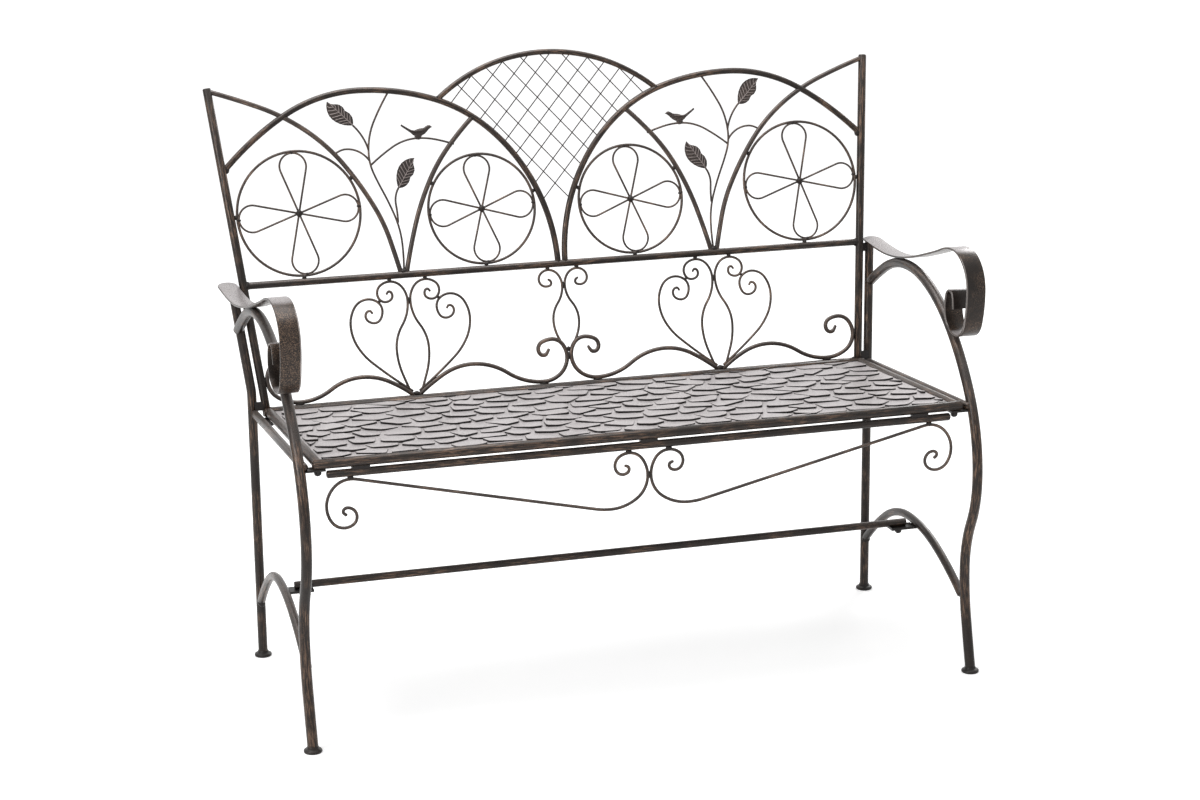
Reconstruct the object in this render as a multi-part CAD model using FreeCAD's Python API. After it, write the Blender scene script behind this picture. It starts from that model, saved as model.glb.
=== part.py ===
import FreeCAD, Part
import math
import os
from FreeCAD import Vector

# Metal garden bench. Sizes in millimetres, angles in degrees; X to the right, front at -Y, Z up.

# Tubes and rods, across flats
front_leg_tube = 16.5
rear_leg_tube = 15.0
brace_tube = 13.5
bearer_tube = 13.0
upright_tube = 13.5
mid_rail_tube = 11.5
bottom_rail_tube = 10.5
seat_tube = 15.0
apron_tube = 12.0
stretcher_tube = 12.0
tube_wall = 1.2
arch_rod = 10.0
centre_arch_rod = 9.0
half_arch_rod = 8.0
wave_rod = 7.0
scroll_rod = 4.3
apron_scroll_rod = 5.0
ring_rod = 4.5
petal_rod = 3.4
stem_rod = 3.4
lattice_wire = 1.8
tube_sides = 8
rod_sides = 4
ring_sides = 32

# Bends are made of short flats: how far they stray from the curve, and the most one turns
flat_stray = 0.7
flat_turn = 25.0

# Side frames: depths run forward from the rear feet
foot_depth = 433.0
foot_diameter = 28.0
foot_height = 8.0
foot_rim = 3.5
foot_collar = 18.0
foot_sides = 16
foot_splay = 16.0
waist_height = 165.0
waist_depth = 402.0
belly_height = 322.0
belly_depth = 442.0
arm_arch_height = 598.6
arm_arch_depth = 110.0
arm_arch_slope = 8.5
arm_arch_turn = 1.2
arm_joint_drop = 58.6
arm_arch_joint_height = arm_arch_height - arm_joint_drop
shoulder_drop = 55.6
shoulder_height = arm_arch_height - shoulder_drop
shoulder_depth = 314.0
front_leg_offset = 3.0
brace_rear_height = 90.0
brace_peak_height = 187.0
brace_peak_depth = 190.0
brace_front_height = 112.0
knee_bend = 60.0
knee_height = 443.0

# Armrest strap
strap_width = 31.5
strap_thickness = 3.0
strap_offset = 7.0
strap_turn = 2.0
strap_tail = 17.0
strap_rear_lift = 10.4
strap_rear_height = arm_arch_height + strap_rear_lift
strap_rear_slope = 6.0
strap_crest_lift = 68.4
strap_crest_height = arm_arch_height + strap_crest_lift
strap_crest_depth = 345.0
strap_rise_run = 88.0
strap_rise = 22.0
strap_rise_slope = 16.5
strap_scroll_drop = 133.0
strap_scroll_reach = 63.0

# Seat, in its own plane that rises to the front
seat_width = 1020.0
seat_depth = 394.0
seat_rear_depth = 22.0
seat_rear_height = 420.0
seat_front_height = 443.0
seat_sheet = 1.2
seat_sheet_sink = 0.6
cross_bar_width = 20.0
cross_bar_thickness = 4.0
cross_bar_place = 170.0
bearer_drop = 3.0
bearer_inset = 3.0
apron_gap = 2.5
apron_length = 980.0
apron_spacer_length = 27.0
apron_spacer_depth = 8.0
apron_spacer_place = 440.0
apron_drop = 84.0
apron_half_length = 493.0

# Back panel, in its own leaning plane; heights run up from the bottom rail
back_width = 1010.0
back_gap = 2.5
back_lean = 14.15
back_splay = 5.8
upright_top = 513.0
upright_tip = 2.0
upright_tail = 6.5
mid_rail_height = 199.5
ear_drop = 2.5
arch_start = 6.0
arch_flank_place = 100.0
arch_flank_height = 423.0
arch_peak_place = 314.0
arch_peak_height = 499.5
arch_end_height = 380.0
centre_arch_radius = 287.0
centre_arch_height = 546.5
centre_arch_half_span = 188.0
fork_place = 264.5
fork_gap = 8.0
ear_bend_place = 405.0
ear_bend_height = 440.0
ear_flank_place = 303.0
ear_flank_height = 310.0
inner_arch_flank_place = 208.5
inner_arch_flank_height = 350.0
inner_arch_top_place = 131.0
inner_arch_top_height = 446.0
outer_ring_place = 426.5
outer_ring_height = 309.0
outer_ring_radius = 99.3
inner_ring_place = 126.8
inner_ring_height = 297.6
inner_ring_radius = 89.0
petal_width = 43.0
petal_bite = 1.5
petal_turn = 3.0
hub_width = 12.0
hub_thickness = 5.0
lattice_cell_width = 36.0
lattice_cell_height = 40.5
lattice_node_height = 331.5
weld_gap = 1.5
weld_tab = 5.0
weld_bite = 0.3
touch_gap = 0.1
heart_place = 260.0
heart_half_width = 98.5
centre_motif_half_width = 41.0
centre_motif_base = 59.0
inner_wave_hump_place = 165.0
inner_wave_hump_height = 47.0
inner_wave_touch_place = 46.0
outer_wave_hump_place = 347.0
outer_wave_hump_height = 40.4
outer_wave_touch_place = 450.0
wave_start_gap = 5.0
wave_curl_width = 50.0
wave_curl_height = 77.0

# Sprays
spray_width = 100.0
leaf_length = 56.0
leaf_width = 25.0
leaf_thickness = 2.0
bird_length = 52.0
bird_thickness = 5.0

# Joining pieces
post_gap = 3.8
spacer_length = 14.0
spacer_width = 10.0
spacer_low = 8.0
spacer_drop = 12.6485
lug_thickness = 3.0
lug_width = 24.0
lug_reach = 18.0
lug_setback = 8.0
stretcher_depth = 214.0
stretcher_length = 1016.0
tab_thickness = 4.0
tab_width = 24.0
tab_reach = 28.0

far = 2000.0


def aim(heading):
    angle = math.radians(heading)
    return Vector(math.cos(angle), 0, math.sin(angle))


def polygon(width, sides):
    corner = width / 2 / math.cos(math.pi / sides)
    angles = [(i + 0.5) * 2 * math.pi / sides for i in range(sides)]
    return [(corner * math.cos(a), corner * math.sin(a)) for a in angles]


def arc(start, tangent, end):
    # Points of the arc that leaves start along the tangent, and its heading at the end
    chord = end - start
    left = Vector(-tangent.z, 0, tangent.x)
    rise = chord.dot(left)
    turn = 2 * math.atan2(rise, chord.dot(tangent))
    if abs(turn) < 1e-6:
        return [end], tangent
    radius = chord.dot(chord) / (2 * rise)
    limit = 2 * math.acos(max(1 - flat_stray / abs(radius), 0))
    count = math.ceil(abs(turn) / min(limit, math.radians(flat_turn)))
    points = []
    for i in range(1, count + 1):
        angle = turn * i / count
        points.append(start + tangent * (radius * math.sin(angle)) + left * (radius * (1 - math.cos(angle))))
    return points, tangent * math.cos(turn) + left * math.sin(turn)


def route(*knots):
    # Tangent arcs through knots of place, height and heading, in the XZ plane
    points = [Vector(knots[0][0], 0, knots[0][1])]
    for (x0, z0, h0), (x1, z1, h1) in zip(knots, knots[1:]):
        start, end = Vector(x0, 0, z0), Vector(x1, 0, z1)
        leave, arrive = aim(h0), aim(h1)
        chord = end - start
        spread = 2 * (1 - leave.dot(arrive))
        along = chord.dot(leave + arrive)
        if spread < 1e-9:
            reach = chord.dot(chord) / (2 * along)
        else:
            reach = (math.sqrt(along ** 2 + spread * chord.dot(chord)) - along) / spread
        middle = (start + end + (leave - arrive) * reach) * 0.5
        first, tangent = arc(start, leave, middle)
        second, tangent = arc(middle, tangent, end)
        points += first + second
    return points


def straight(x0, z0, x1, z1):
    return [Vector(x0, 0, z0), Vector(x1, 0, z1)]


def loop(points):
    return Part.makePolygon(points + points[:1])


def sweep(points, *outlines):
    # A mitred bar along the points; a second outline is its bore
    headings = [(b - a).normalize() for a, b in zip(points, points[1:])]
    mitres = [a + b for a, b in zip(headings, headings[1:])] + headings[-1:]
    through = Vector(0, 1, 0)
    across = headings[0].cross(through)
    faces = []
    ends = []
    for outline in outlines:
        ring = [points[0] + across * a + through * b for a, b in outline]
        near = ring
        for heading, mitre, target in zip(headings, mitres, points[1:]):
            next_ring = [p + heading * ((target - p).dot(mitre) / heading.dot(mitre)) for p in near]
            for i in range(len(outline)):
                faces.append(Part.Face(loop([near[i - 1], near[i], next_ring[i], next_ring[i - 1]])))
            near = next_ring
        ends.append((loop(ring), loop(near)))
    faces += [Part.makeFace(list(wires), "Part::FaceMakerBullseye") for wires in zip(*ends)]
    shell = Part.makeCompound(faces)
    shell.sewShape()
    solid = Part.makeSolid(shell.Shells[0])
    if solid.Volume < 0:
        solid.reverse()
    return solid


def rod(points, width, sides=rod_sides):
    return sweep(points, polygon(width, sides))


def tube(points, width):
    return sweep(points, polygon(width, tube_sides), polygon(width - 2 * tube_wall, tube_sides))


def plate(points, thickness):
    # A flat piece cut to an outline in the XZ plane
    face = Part.Face(loop(points))
    face.translate(Vector(0, -thickness / 2, 0))
    return face.extrude(Vector(0, thickness, 0))


def box(x0, x1, y0, y1, z0, z1):
    return Part.makeBox(x1 - x0, y1 - y0, z1 - z0, Vector(x0, y0, z0))


def cope(shape, *others):
    for other in others:
        shape = shape.cut(other)
    return shape


def largest(shape, count=1):
    solids = sorted(shape.Solids, key=lambda s: s.Volume, reverse=True)[:count]
    return solids[0] if count == 1 else Part.makeCompound(solids)


def flip(shape):
    return shape.mirror(Vector(0, 0, 0), Vector(1, 0, 0))


def group(*shapes):
    return Part.makeCompound([s for shape in shapes for s in shape.Solids])


nodes = {}


def pair(name, shape):
    nodes["right_" + name] = shape
    nodes["left_" + name] = flip(shape)


# Back panel, drawn upright in the XZ plane and leaned at the end

splay = math.tan(math.radians(back_splay))


def upright_place(height):
    return back_width / 2 + height * splay


upright_foot = upright_place(-upright_tail)
upright_points = straight(upright_foot, -upright_tail, upright_place(upright_top), upright_top)
tip_rings = []
for height, share in ((upright_top, 1.0), (upright_top + upright_tip, 0.8)):
    centre = Vector(upright_place(height), 0, height)
    outline = polygon(upright_tube * share, tube_sides)
    tip_rings.append(loop([centre + aim(-back_splay) * a + Vector(0, b, 0) for a, b in outline]))
upright_cap = Part.makeLoft(tip_rings, True, True)
upright_core = rod(upright_points, upright_tube, tube_sides).fuse(upright_cap)
pair("back_upright", tube(upright_points, upright_tube).fuse(upright_cap))


def back_rail(height, width):
    end = upright_place(height)
    points = straight(-end, height, end, height)
    rail = largest(cope(tube(points, width), upright_core, flip(upright_core)))
    return rail, rod(points, width, tube_sides)


nodes["mid_rail"], mid_core = back_rail(mid_rail_height, mid_rail_tube)
nodes["bottom_rail"], bottom_core = back_rail(0.0, bottom_rail_tube)

arch_points = route(
    (arch_start, mid_rail_height, 90),
    (arch_flank_place, arch_flank_height, 44),
    (arch_peak_place, arch_peak_height, 0),
    (upright_place(arch_end_height), arch_end_height, -47),
)
arch = largest(cope(rod(arch_points, arch_rod, tube_sides), mid_core, upright_core))
pair("back_arch", arch)

centre_axis = centre_arch_height - centre_arch_radius
centre_swing = math.degrees(math.asin(centre_arch_half_span / centre_arch_radius))
centre_end = centre_axis + math.sqrt(centre_arch_radius ** 2 - centre_arch_half_span ** 2)
centre_points = route(
    (-centre_arch_half_span, centre_end, centre_swing),
    (0, centre_arch_height, 0),
    (centre_arch_half_span, centre_end, -centre_swing),
)
centre_arch = largest(cope(rod(centre_points, centre_arch_rod, tube_sides), arch, flip(arch)))
nodes["centre_arch"] = centre_arch

ear_points = route(
    (upright_place(upright_top), upright_top - ear_drop, 198),
    (ear_bend_place, ear_bend_height, 217),
    (ear_flank_place, ear_flank_height, 243),
    (fork_place + fork_gap / 2, mid_rail_height, 257),
)
ear = largest(cope(rod(ear_points, half_arch_rod, tube_sides), upright_core, arch, mid_core), 2)
pair("ear_arch", ear)

inner_arch_points = route(
    (fork_place - fork_gap / 2, mid_rail_height, 103),
    (inner_arch_flank_place, inner_arch_flank_height, 118),
    (inner_arch_top_place, inner_arch_top_height, 137),
)
inner_arch = largest(cope(rod(inner_arch_points, half_arch_rod, tube_sides), arch, mid_core))
pair("inner_arch", inner_arch)


def lattice():
    # Straight wires both ways, kept where they lie between the centre arch and the two large ones
    corner = Vector(arch_points[-1].x, 0, mid_rail_height)
    under = plate(arch_points + [corner], 2 * arch_rod)
    fan = box(-centre_arch_half_span, centre_arch_half_span, -arch_rod, arch_rod, mid_rail_height, far)
    middle = Vector(0, -arch_rod, centre_axis)
    disc = Part.makeCylinder(centre_arch_radius, 2 * arch_rod, middle, Vector(0, 1, 0))
    fan = cope(fan.common(disc), under, flip(under))
    rise = lattice_cell_height / lattice_cell_width
    reach = centre_arch_half_span
    count = math.ceil((centre_arch_height + reach * rise - lattice_node_height) / lattice_cell_height)
    wires = []
    for i in range(count):
        height = lattice_node_height + i * lattice_cell_height
        wire = rod(straight(-reach, height - reach * rise, reach, height + reach * rise), lattice_wire)
        wire.translate(Vector(0, -lattice_wire / 2, 0))
        kept = cope(wire.common(fan), centre_arch, arch, flip(arch), mid_core)
        wires += [s for s in kept.Solids if s.Volume > lattice_wire ** 3]
    front = Part.makeCompound(wires)
    behind = front.copy()
    behind.rotate(Vector(0, 0, 0), Vector(0, 0, 1), 180)
    return group(front, behind)


nodes["lattice"] = lattice()


def medallion(place, height, radius, twist, tab_headings):
    outer = [aim(0) * a + aim(90) * b for a, b in polygon(2 * radius + ring_rod, ring_sides)]
    inner = [aim(0) * a + aim(90) * b for a, b in polygon(2 * radius - ring_rod, ring_sides)]
    ring = plate(outer, ring_rod).cut(plate(inner, ring_rod))
    tip = petal_width / 2
    hub = radius - tip - (ring_rod + petal_rod) / 2 + petal_bite
    half = math.degrees(math.asin(tip / hub))
    side = math.sqrt(hub ** 2 - tip ** 2)
    first = aim(-half) * side
    tip_points = arc(first, aim(-half), aim(half) * side)[0]
    petal = rod([Vector(0, 0, 0), first] + tip_points + [Vector(0, 0, 0)], petal_rod)
    petals = []
    for turn in range(4):
        petals.append(petal.copy())
        petals[-1].rotate(Vector(0, 0, 0), Vector(0, 1, 0), 90 * turn - twist)
    boss = plate([aim(0) * a + aim(90) * b for a, b in polygon(hub_width, tube_sides)], hub_thickness)
    shape = boss
    for piece in petals + [ring]:
        shape = shape.fuse(piece)
    shape.translate(Vector(place, 0, height))
    for heading in tab_headings:
        begin = Vector(place, 0, height) + aim(heading) * radius
        tab = rod([begin, begin + aim(heading) * 4 * weld_tab], weld_tab)
        bits = cope(tab, mid_core, upright_core, arch, inner_arch, *ear.Solids).Solids
        shape = shape.fuse(min(bits, key=lambda s: s.distToShape(Part.Vertex(begin))[0]))
    return largest(shape)


outer_ring = (outer_ring_place, outer_ring_height, outer_ring_radius)
inner_ring = (inner_ring_place, inner_ring_height, inner_ring_radius)
for name, ring, headings in (
    ("outer_medallion", outer_ring, (-90, 0, 138)),
    ("inner_medallion", inner_ring, (-90, 41, 165)),
):
    # The flowers all turn the same way, so the left ones are no mirror of the right
    nodes["right_" + name] = medallion(*ring, petal_turn, headings)
    nodes["left_" + name] = flip(medallion(*ring, -petal_turn, headings))

# Waves, hearts and centre scrolls between the two rails

rail_top = bottom_rail_tube / 2
curl_top = mid_rail_height - mid_rail_tube / 2 - weld_gap - scroll_rod / 2
wave_touch = rail_top + wave_rod / 2


def wave_curl(x, way):
    # The end of a wave, from where it stands upright at x, curling away in the direction given
    return (
        (x, wave_curl_height * 0.62, 90),
        (x + way * wave_curl_width * 0.49, wave_curl_height, 90 - 90 * way),
        (x + way * wave_curl_width * 0.96, wave_curl_height * 0.8, -90),
        (x + way * wave_curl_width * 0.79, wave_curl_height * 0.67, 90 + 90 * way),
        (x + way * wave_curl_width * 0.6, wave_curl_height * 0.79, 90 + 25 * way),
    )


inner_wave_points = route(
    (heart_place - wave_start_gap, rail_top, 141),
    (inner_wave_hump_place, inner_wave_hump_height, 180),
    (inner_wave_touch_place, wave_touch, 180),
    *wave_curl(wave_rod / 2 + touch_gap, 1),
)
outer_wave_bulge = upright_place(wave_curl_height * 0.62) - (upright_tube + wave_rod) / 2 + weld_bite
outer_wave_points = route(
    (heart_place + wave_start_gap, rail_top, 39),
    (outer_wave_hump_place, outer_wave_hump_height, 0),
    (outer_wave_touch_place, wave_touch, 0),
    *wave_curl(outer_wave_bulge, -1),
)
inner_wave = largest(rod(inner_wave_points, wave_rod).cut(bottom_core))
outer_wave = largest(cope(rod(outer_wave_points, wave_rod), bottom_core, upright_core, inner_wave))
pair("inner_wave", inner_wave)
pair("outer_wave", outer_wave)


def rail_tab(place):
    half = weld_tab / 2
    return box(place - half, place + half, -scroll_rod / 2, scroll_rod / 2, curl_top, mid_rail_height)


def scroll(base, half_width, *knots):
    # A scroll between its base height and the middle rail, with knots as shares of its box
    return rod(route(*[(u * half_width, base + v * (curl_top - base), h) for u, v, h in knots]), scroll_rod)


neck = (scroll_rod / 2 + touch_gap) / heart_half_width
heart_inner = scroll(
    rail_top, heart_half_width,
    (0.06, -0.015, 68), (0.27, 0.4, 90), (neck, 0.823, 90), (0.3, 1, 0), (0.52, 0.903, -90),
    (0.39, 0.825, 180), (0.27, 0.876, 90), (0.32, 0.914, 0), (0.365, 0.892, -60),
).fuse(rail_tab(0.3 * heart_half_width))
heart_outer = scroll(
    rail_top, heart_half_width,
    (0.1, 0.06, 36), (0.69, 0.306, 42), (1, 0.64, 90), (0.685, 0.86, 180), (0.455, 0.753, -90),
    (0.6, 0.65, 0), (0.741, 0.715, 90), (0.67, 0.758, 180), (0.624, 0.734, 240),
)
heart_move = Vector(heart_place, 0, 0)
inner_halves = []
for shape in (heart_inner, flip(heart_inner)):
    half = cope(shape.translated(heart_move), inner_wave, outer_wave, bottom_core, mid_core)
    inner_halves.append(largest(half))
outer_halves = []
for shape in (heart_outer, flip(heart_outer)):
    outer_halves.append(largest(cope(shape.translated(heart_move), inner_wave, outer_wave, *inner_halves)))
pair("heart_inner_scrolls", group(*inner_halves))
pair("heart_outer_scrolls", group(*outer_halves))

motif_neck = (scroll_rod / 2 + touch_gap) / centre_motif_half_width
motif = scroll(
    centre_motif_base, centre_motif_half_width,
    (motif_neck, -0.05, 62), (0.53, 0.36, 90), (motif_neck, 0.8, 90), (0.6, 1, 0), (1, 0.885, -90),
    (0.71, 0.795, 180), (0.5, 0.835, 90), (0.62, 0.88, 10),
).fuse(rail_tab(0.6 * centre_motif_half_width))
right_half = box(0, far, -far, far, -far, far)
motif = largest(cope(motif.common(right_half), inner_wave, mid_core))
nodes["centre_scrolls"] = group(motif, flip(motif))

# Sprays: stems welded to one vine, with leaves and a bird on it


def leaf(place, height, heading, hand):
    # One stamping for all four leaves: base, notch, shoulder and point, then back over the round side
    edges = ((0.44, -0.337, -65), (0.8, -0.169, -30), (1, 0, 40), (0.45, 0.584, 118), (0, 0, 191))
    points = [Vector(0, 0, 0)]
    for u, v, start_heading in edges:
        points += arc(points[-1], aim(start_heading), Vector(u * leaf_length, 0, v * leaf_width))[0]
    shape = plate([Vector(p.x, 0, p.z * hand) for p in points[:-1]], leaf_thickness)
    shape.rotate(Vector(0, 0, 0), Vector(0, 1, 0), -heading)
    return shape.translated(Vector(place, 0, height))


def bird():
    # Feet at the origin, tail raised behind, beak towards the middle of the bench
    outline = (
        (0.087, -0.012), (0.076, 0.065), (0.337, 0.283), (0.515, 0.42), (0.478, 0.446), (0.14, 0.24),
        (-0.14, 0.283), (-0.27, 0.305), (-0.34, 0.375), (-0.4, 0.39), (-0.49, 0.31), (-0.38, 0.257),
        (-0.27, 0.163), (-0.093, 0.054), (-0.087, -0.012),
    )
    shape = plate([Vector(u * bird_length, 0, v * bird_length) for u, v in outline], bird_thickness)
    return shape.translated(Vector(perch[0], 0, perch[1] + stem_rod / 2))


def spray(u, v, heading):
    # A knot of a spray, in shares of its box between the middle rail and the peak of the large arch
    return fork_place + u * spray_width, mid_rail_height + v * (arch_peak_height - mid_rail_height), heading


upper_leaf = spray(0.635, 0.815, 46)
lower_leaf = spray(-0.025, 0.466, 123)
perch = spray(-0.41, 0.727, 180)
stems = (
    route(spray(0, 0, 95), spray(-0.015, 0.165, 88), spray(0.245, 0.462, 65), spray(0.415, 0.652, 90),
          spray(-0.02, 1, 125)),
    route(spray(0.41, 0.675, 78), upper_leaf),
    route(spray(0.025, 0.282, 92), lower_leaf),
    route(spray(0.405, 0.618, 60), spray(0.775, 0.69, 0), spray(0.985, 0.665, -32)),
    route(spray(0.39, 0.598, 140), perch, spray(-0.995, 0.685, 200)),
)
rods = [rod(points, stem_rod) for points in stems]
right_leaves, left_leaves = [group(leaf(*upper_leaf, hand), leaf(*lower_leaf, hand)) for hand in (1, -1)]
vine = rods[0].multiFuse(rods[1:])
vine = largest(cope(vine, mid_core, arch, ear, inner_arch, right_leaves, left_leaves))
pair("vine", vine)
nodes["right_leaves"] = right_leaves
nodes["left_leaves"] = flip(left_leaves)
pair("bird", largest(bird().cut(vine)))

# Spacers between the uprights and the rear legs, and the lean of the panel over the seat's rear rail

post_step = ((upright_tube + rear_leg_tube) / 2 + post_gap) / math.cos(math.radians(back_splay))
seat_rear_z = seat_rear_height - seat_tube / 2
post_rise = (strap_rear_height - seat_rear_z) / math.cos(math.radians(back_lean))
spacer_high = post_rise - spacer_drop
back_y = -seat_rear_depth + (seat_tube + bottom_rail_tube) / 2 + back_gap


def back_point(place, height):
    angle = math.radians(back_lean)
    return Vector(place, back_y + height * math.sin(angle), seat_rear_z + height * math.cos(angle))


def lean(shape):
    shape = shape.copy()
    shape.rotate(Vector(0, 0, 0), Vector(1, 0, 0), -back_lean)
    return shape.translated(back_point(0, 0))


spacers = []
for height in (spacer_low, spacer_high):
    low, high = height - spacer_length / 2, height + spacer_length / 2
    outline = [Vector(upright_place(low), 0, low), Vector(upright_place(low) + post_step, 0, low),
               Vector(upright_place(high) + post_step, 0, high), Vector(upright_place(high), 0, high)]
    spacers.append(lean(plate(outline, spacer_width).cut(upright_core)))
for name in list(nodes):
    nodes[name] = lean(nodes[name])

# Side frames, drawn in the XZ plane with X running forward, then turned into place

knee_up = (knee_height - seat_rear_z) / math.cos(math.radians(back_lean))
side_place = upright_place(knee_up) + post_step
rear_foot_y = back_point(0, knee_up).y


def to_side(shape, offset=0.0, turn=0.0):
    shape = shape.copy()
    shape.rotate(Vector(foot_depth, 0, 0), Vector(0, 0, 1), -turn)
    shape.rotate(Vector(0, 0, 0), Vector(0, 0, 1), -90)
    return shape.translated(Vector(side_place + offset, rear_foot_y, 0))


post_top = back_point(upright_place(post_rise) + post_step, post_rise)
strap_start = rear_foot_y - post_top.y - strap_tail
arch_top = Vector(arm_arch_depth, 0, arm_arch_height)
strap_seat = arch_top + aim(90 + arm_arch_slope) * ((front_leg_tube + strap_thickness) / 2)
strap_points = route(
    (strap_start, strap_rear_height, -strap_rear_slope),
    (strap_seat.x, strap_seat.z, arm_arch_slope),
    (strap_crest_depth - strap_rise_run, strap_crest_height - strap_rise, strap_rise_slope),
    (strap_crest_depth, strap_crest_height, 0),
    (strap_crest_depth + strap_scroll_reach, strap_crest_height - 0.42 * strap_scroll_drop, -90),
    (strap_crest_depth + 0.28 * strap_scroll_reach, strap_crest_height - strap_scroll_drop, 180),
    (strap_crest_depth - 0.42 * strap_scroll_reach, strap_crest_height - 0.745 * strap_scroll_drop, 90),
    (strap_crest_depth - 0.12 * strap_scroll_reach, strap_crest_height - 0.5 * strap_scroll_drop, 0),
    (strap_crest_depth + 0.12 * strap_scroll_reach, strap_crest_height - 0.7 * strap_scroll_drop, -90),
)
thick, wide = strap_thickness / 2, strap_width / 2
strap = sweep(strap_points, [(thick, wide), (-thick, wide), (-thick, -wide), (thick, -wide)])
nose = arc(Vector(strap_start + wide, 0, -wide), aim(180), Vector(strap_start + wide, 0, wide))[0]
plan = [Vector(far, wide, 0), Vector(far, -wide, 0), Vector(strap_start + wide, -wide, 0)]
plan += [Vector(p.x, p.z, 0) for p in nose]
strap = strap.common(Part.Face(loop(plan)).extrude(Vector(0, 0, far)))
strap = to_side(strap, strap_offset, strap_turn)

knee = Vector(side_place, rear_foot_y, knee_height)
lower = Vector(0, 0, 1)
upper = (post_top - knee).normalize()
bend = lower.getAngle(upper)
bend_trim = knee_bend * math.tan(bend / 2)
bend_axis = knee - lower * bend_trim + (upper - lower * upper.dot(lower)).normalize() * knee_bend
bend_out = (bend_axis - (knee - lower * bend_trim)).normalize()
rear_points = [Vector(side_place, rear_foot_y, foot_height)]
for share in (0, 0.5, 1):
    angle = bend * share
    step = lower * math.sin(angle) - bend_out * math.cos(angle)
    rear_points.append(bend_axis + step * knee_bend)
rear_points.append(post_top)
rear_core = rod(rear_points, rear_leg_tube, tube_sides)
back_core = lean(upright_core)
strap = largest(strap.cut(back_core))
pair("armrest", strap)
pair("rear_leg", largest(tube(rear_points, rear_leg_tube).cut(strap)))

below = box(-far, far, -far, far, -far, foot_height)
joint_point = back_point(0, (arm_arch_joint_height - seat_rear_z) / math.cos(math.radians(back_lean)))
foot_run = front_leg_tube * math.tan(math.radians(foot_splay))
leg_points = route(
    (foot_depth + foot_run, foot_height - front_leg_tube, 90 + foot_splay),
    (foot_depth, foot_height, 90 + foot_splay),
    (waist_depth, waist_height, 90),
    (belly_depth, belly_height, 90),
    (shoulder_depth, shoulder_height, 143),
    (arm_arch_depth, arm_arch_height, 180 + arm_arch_slope),
    (rear_foot_y - joint_point.y, arm_arch_joint_height, 212),
)
front_core = to_side(rod(leg_points, front_leg_tube, tube_sides), front_leg_offset, arm_arch_turn)
front_leg = to_side(tube(leg_points, front_leg_tube), front_leg_offset, arm_arch_turn)
pair("front_leg", largest(cope(front_leg, below, rear_core, back_core, strap)))

brace_points = route(
    (0, brace_rear_height, 43),
    (brace_peak_depth, brace_peak_height, 0),
    (waist_depth + front_leg_tube / 2, brace_front_height, -33),
)
brace_core = to_side(rod(brace_points, brace_tube, tube_sides))
brace = largest(cope(to_side(tube(brace_points, brace_tube)), rear_core, front_core))
pair("leg_brace", brace)


def foot(x, y):
    rings = []
    for z, width in ((0, foot_diameter), (foot_rim, foot_diameter), (foot_height, foot_collar)):
        rings.append(loop([Vector(x + a, y + b, z) for a, b in polygon(width, foot_sides)]))
    return Part.makeLoft(rings, True, True)


front_foot = foot(side_place + front_leg_offset, rear_foot_y - foot_depth)
right_feet = group(front_foot, foot(side_place, rear_foot_y))
nodes["feet"] = group(right_feet, flip(right_feet))

# Stretcher on tabs between the two leg braces

stretcher_y = rear_foot_y - stretcher_depth
half_stretcher = stretcher_length / 2
stretcher_points = straight(-half_stretcher, brace_peak_height, half_stretcher, brace_peak_height)
nodes["stretcher"] = tube(stretcher_points, stretcher_tube).translated(Vector(0, stretcher_y, 0))
tab_top = brace_peak_height - stretcher_tube / 2
half_tab = tab_width / 2
tab = box(half_stretcher - tab_reach, side_place, stretcher_y - half_tab, stretcher_y + half_tab,
          tab_top - tab_thickness, tab_top)
tab = largest(tab.cut(brace_core))
nodes["stretcher_tabs"] = group(tab, flip(tab))

# Seat and apron, drawn level with the rear rail at the origin, then tilted

seat_rise = math.degrees(math.asin((seat_front_height - seat_rear_height) / seat_depth))


def tilt(shape):
    shape = shape.copy()
    shape.rotate(Vector(0, 0, 0), Vector(1, 0, 0), -seat_rise)
    return shape.translated(Vector(0, -seat_rear_depth, seat_rear_z))


def across_seat(depth, height, half, width):
    points = [Vector(-half, -depth, height), Vector(half, -depth, height)]
    return tube(points, width), rod(points, width, tube_sides)


def along_seat(place, height, start, end, width):
    points = straight(start, height, end, height)
    shapes = [tube(points, width), rod(points, width, tube_sides)]
    for shape in shapes:
        shape.rotate(Vector(0, 0, 0), Vector(0, 0, 1), -90)
        shape.translate(Vector(place, 0, 0))
    return shapes


half_seat = seat_width / 2
end_place = half_seat - seat_tube / 2
front_rail, front_rail_core = across_seat(seat_depth, 0, half_seat, seat_tube)
rear_rail, rear_rail_core = across_seat(0, 0, half_seat, seat_tube)
end_rail, end_core = along_seat(end_place, 0, 0, seat_depth, seat_tube)
seat_cores = (front_rail_core, rear_rail_core, end_core, flip(end_core))
end_rail = largest(cope(end_rail, front_rail_core, rear_rail_core))
sheet_top = seat_tube / 2 - seat_sheet_sink
sheet_under = sheet_top - seat_sheet
sheet = largest(cope(box(-end_place, end_place, -seat_depth, 0, sheet_under, sheet_top), *seat_cores))
bars = []
for place in (-cross_bar_place, cross_bar_place):
    half = cross_bar_width / 2
    bar = box(place - half, place + half, -seat_depth, 0, sheet_under - cross_bar_thickness, sheet_under)
    bars.append(largest(cope(bar, *seat_cores)))

apron_axis = -(seat_tube + apron_tube) / 2 - apron_gap
apron_rail, apron_core = across_seat(seat_depth, apron_axis, apron_length / 2, apron_tube)
apron_spacers = []
for place in (-apron_spacer_place, 0, apron_spacer_place):
    half, half_depth = apron_spacer_length / 2, apron_spacer_depth / 2
    block = box(place - half, place + half, -half_depth, half_depth, apron_axis, 0)
    block.translate(Vector(0, -seat_depth, 0))
    apron_spacers.append(largest(cope(block, front_rail_core, apron_core)))

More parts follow.
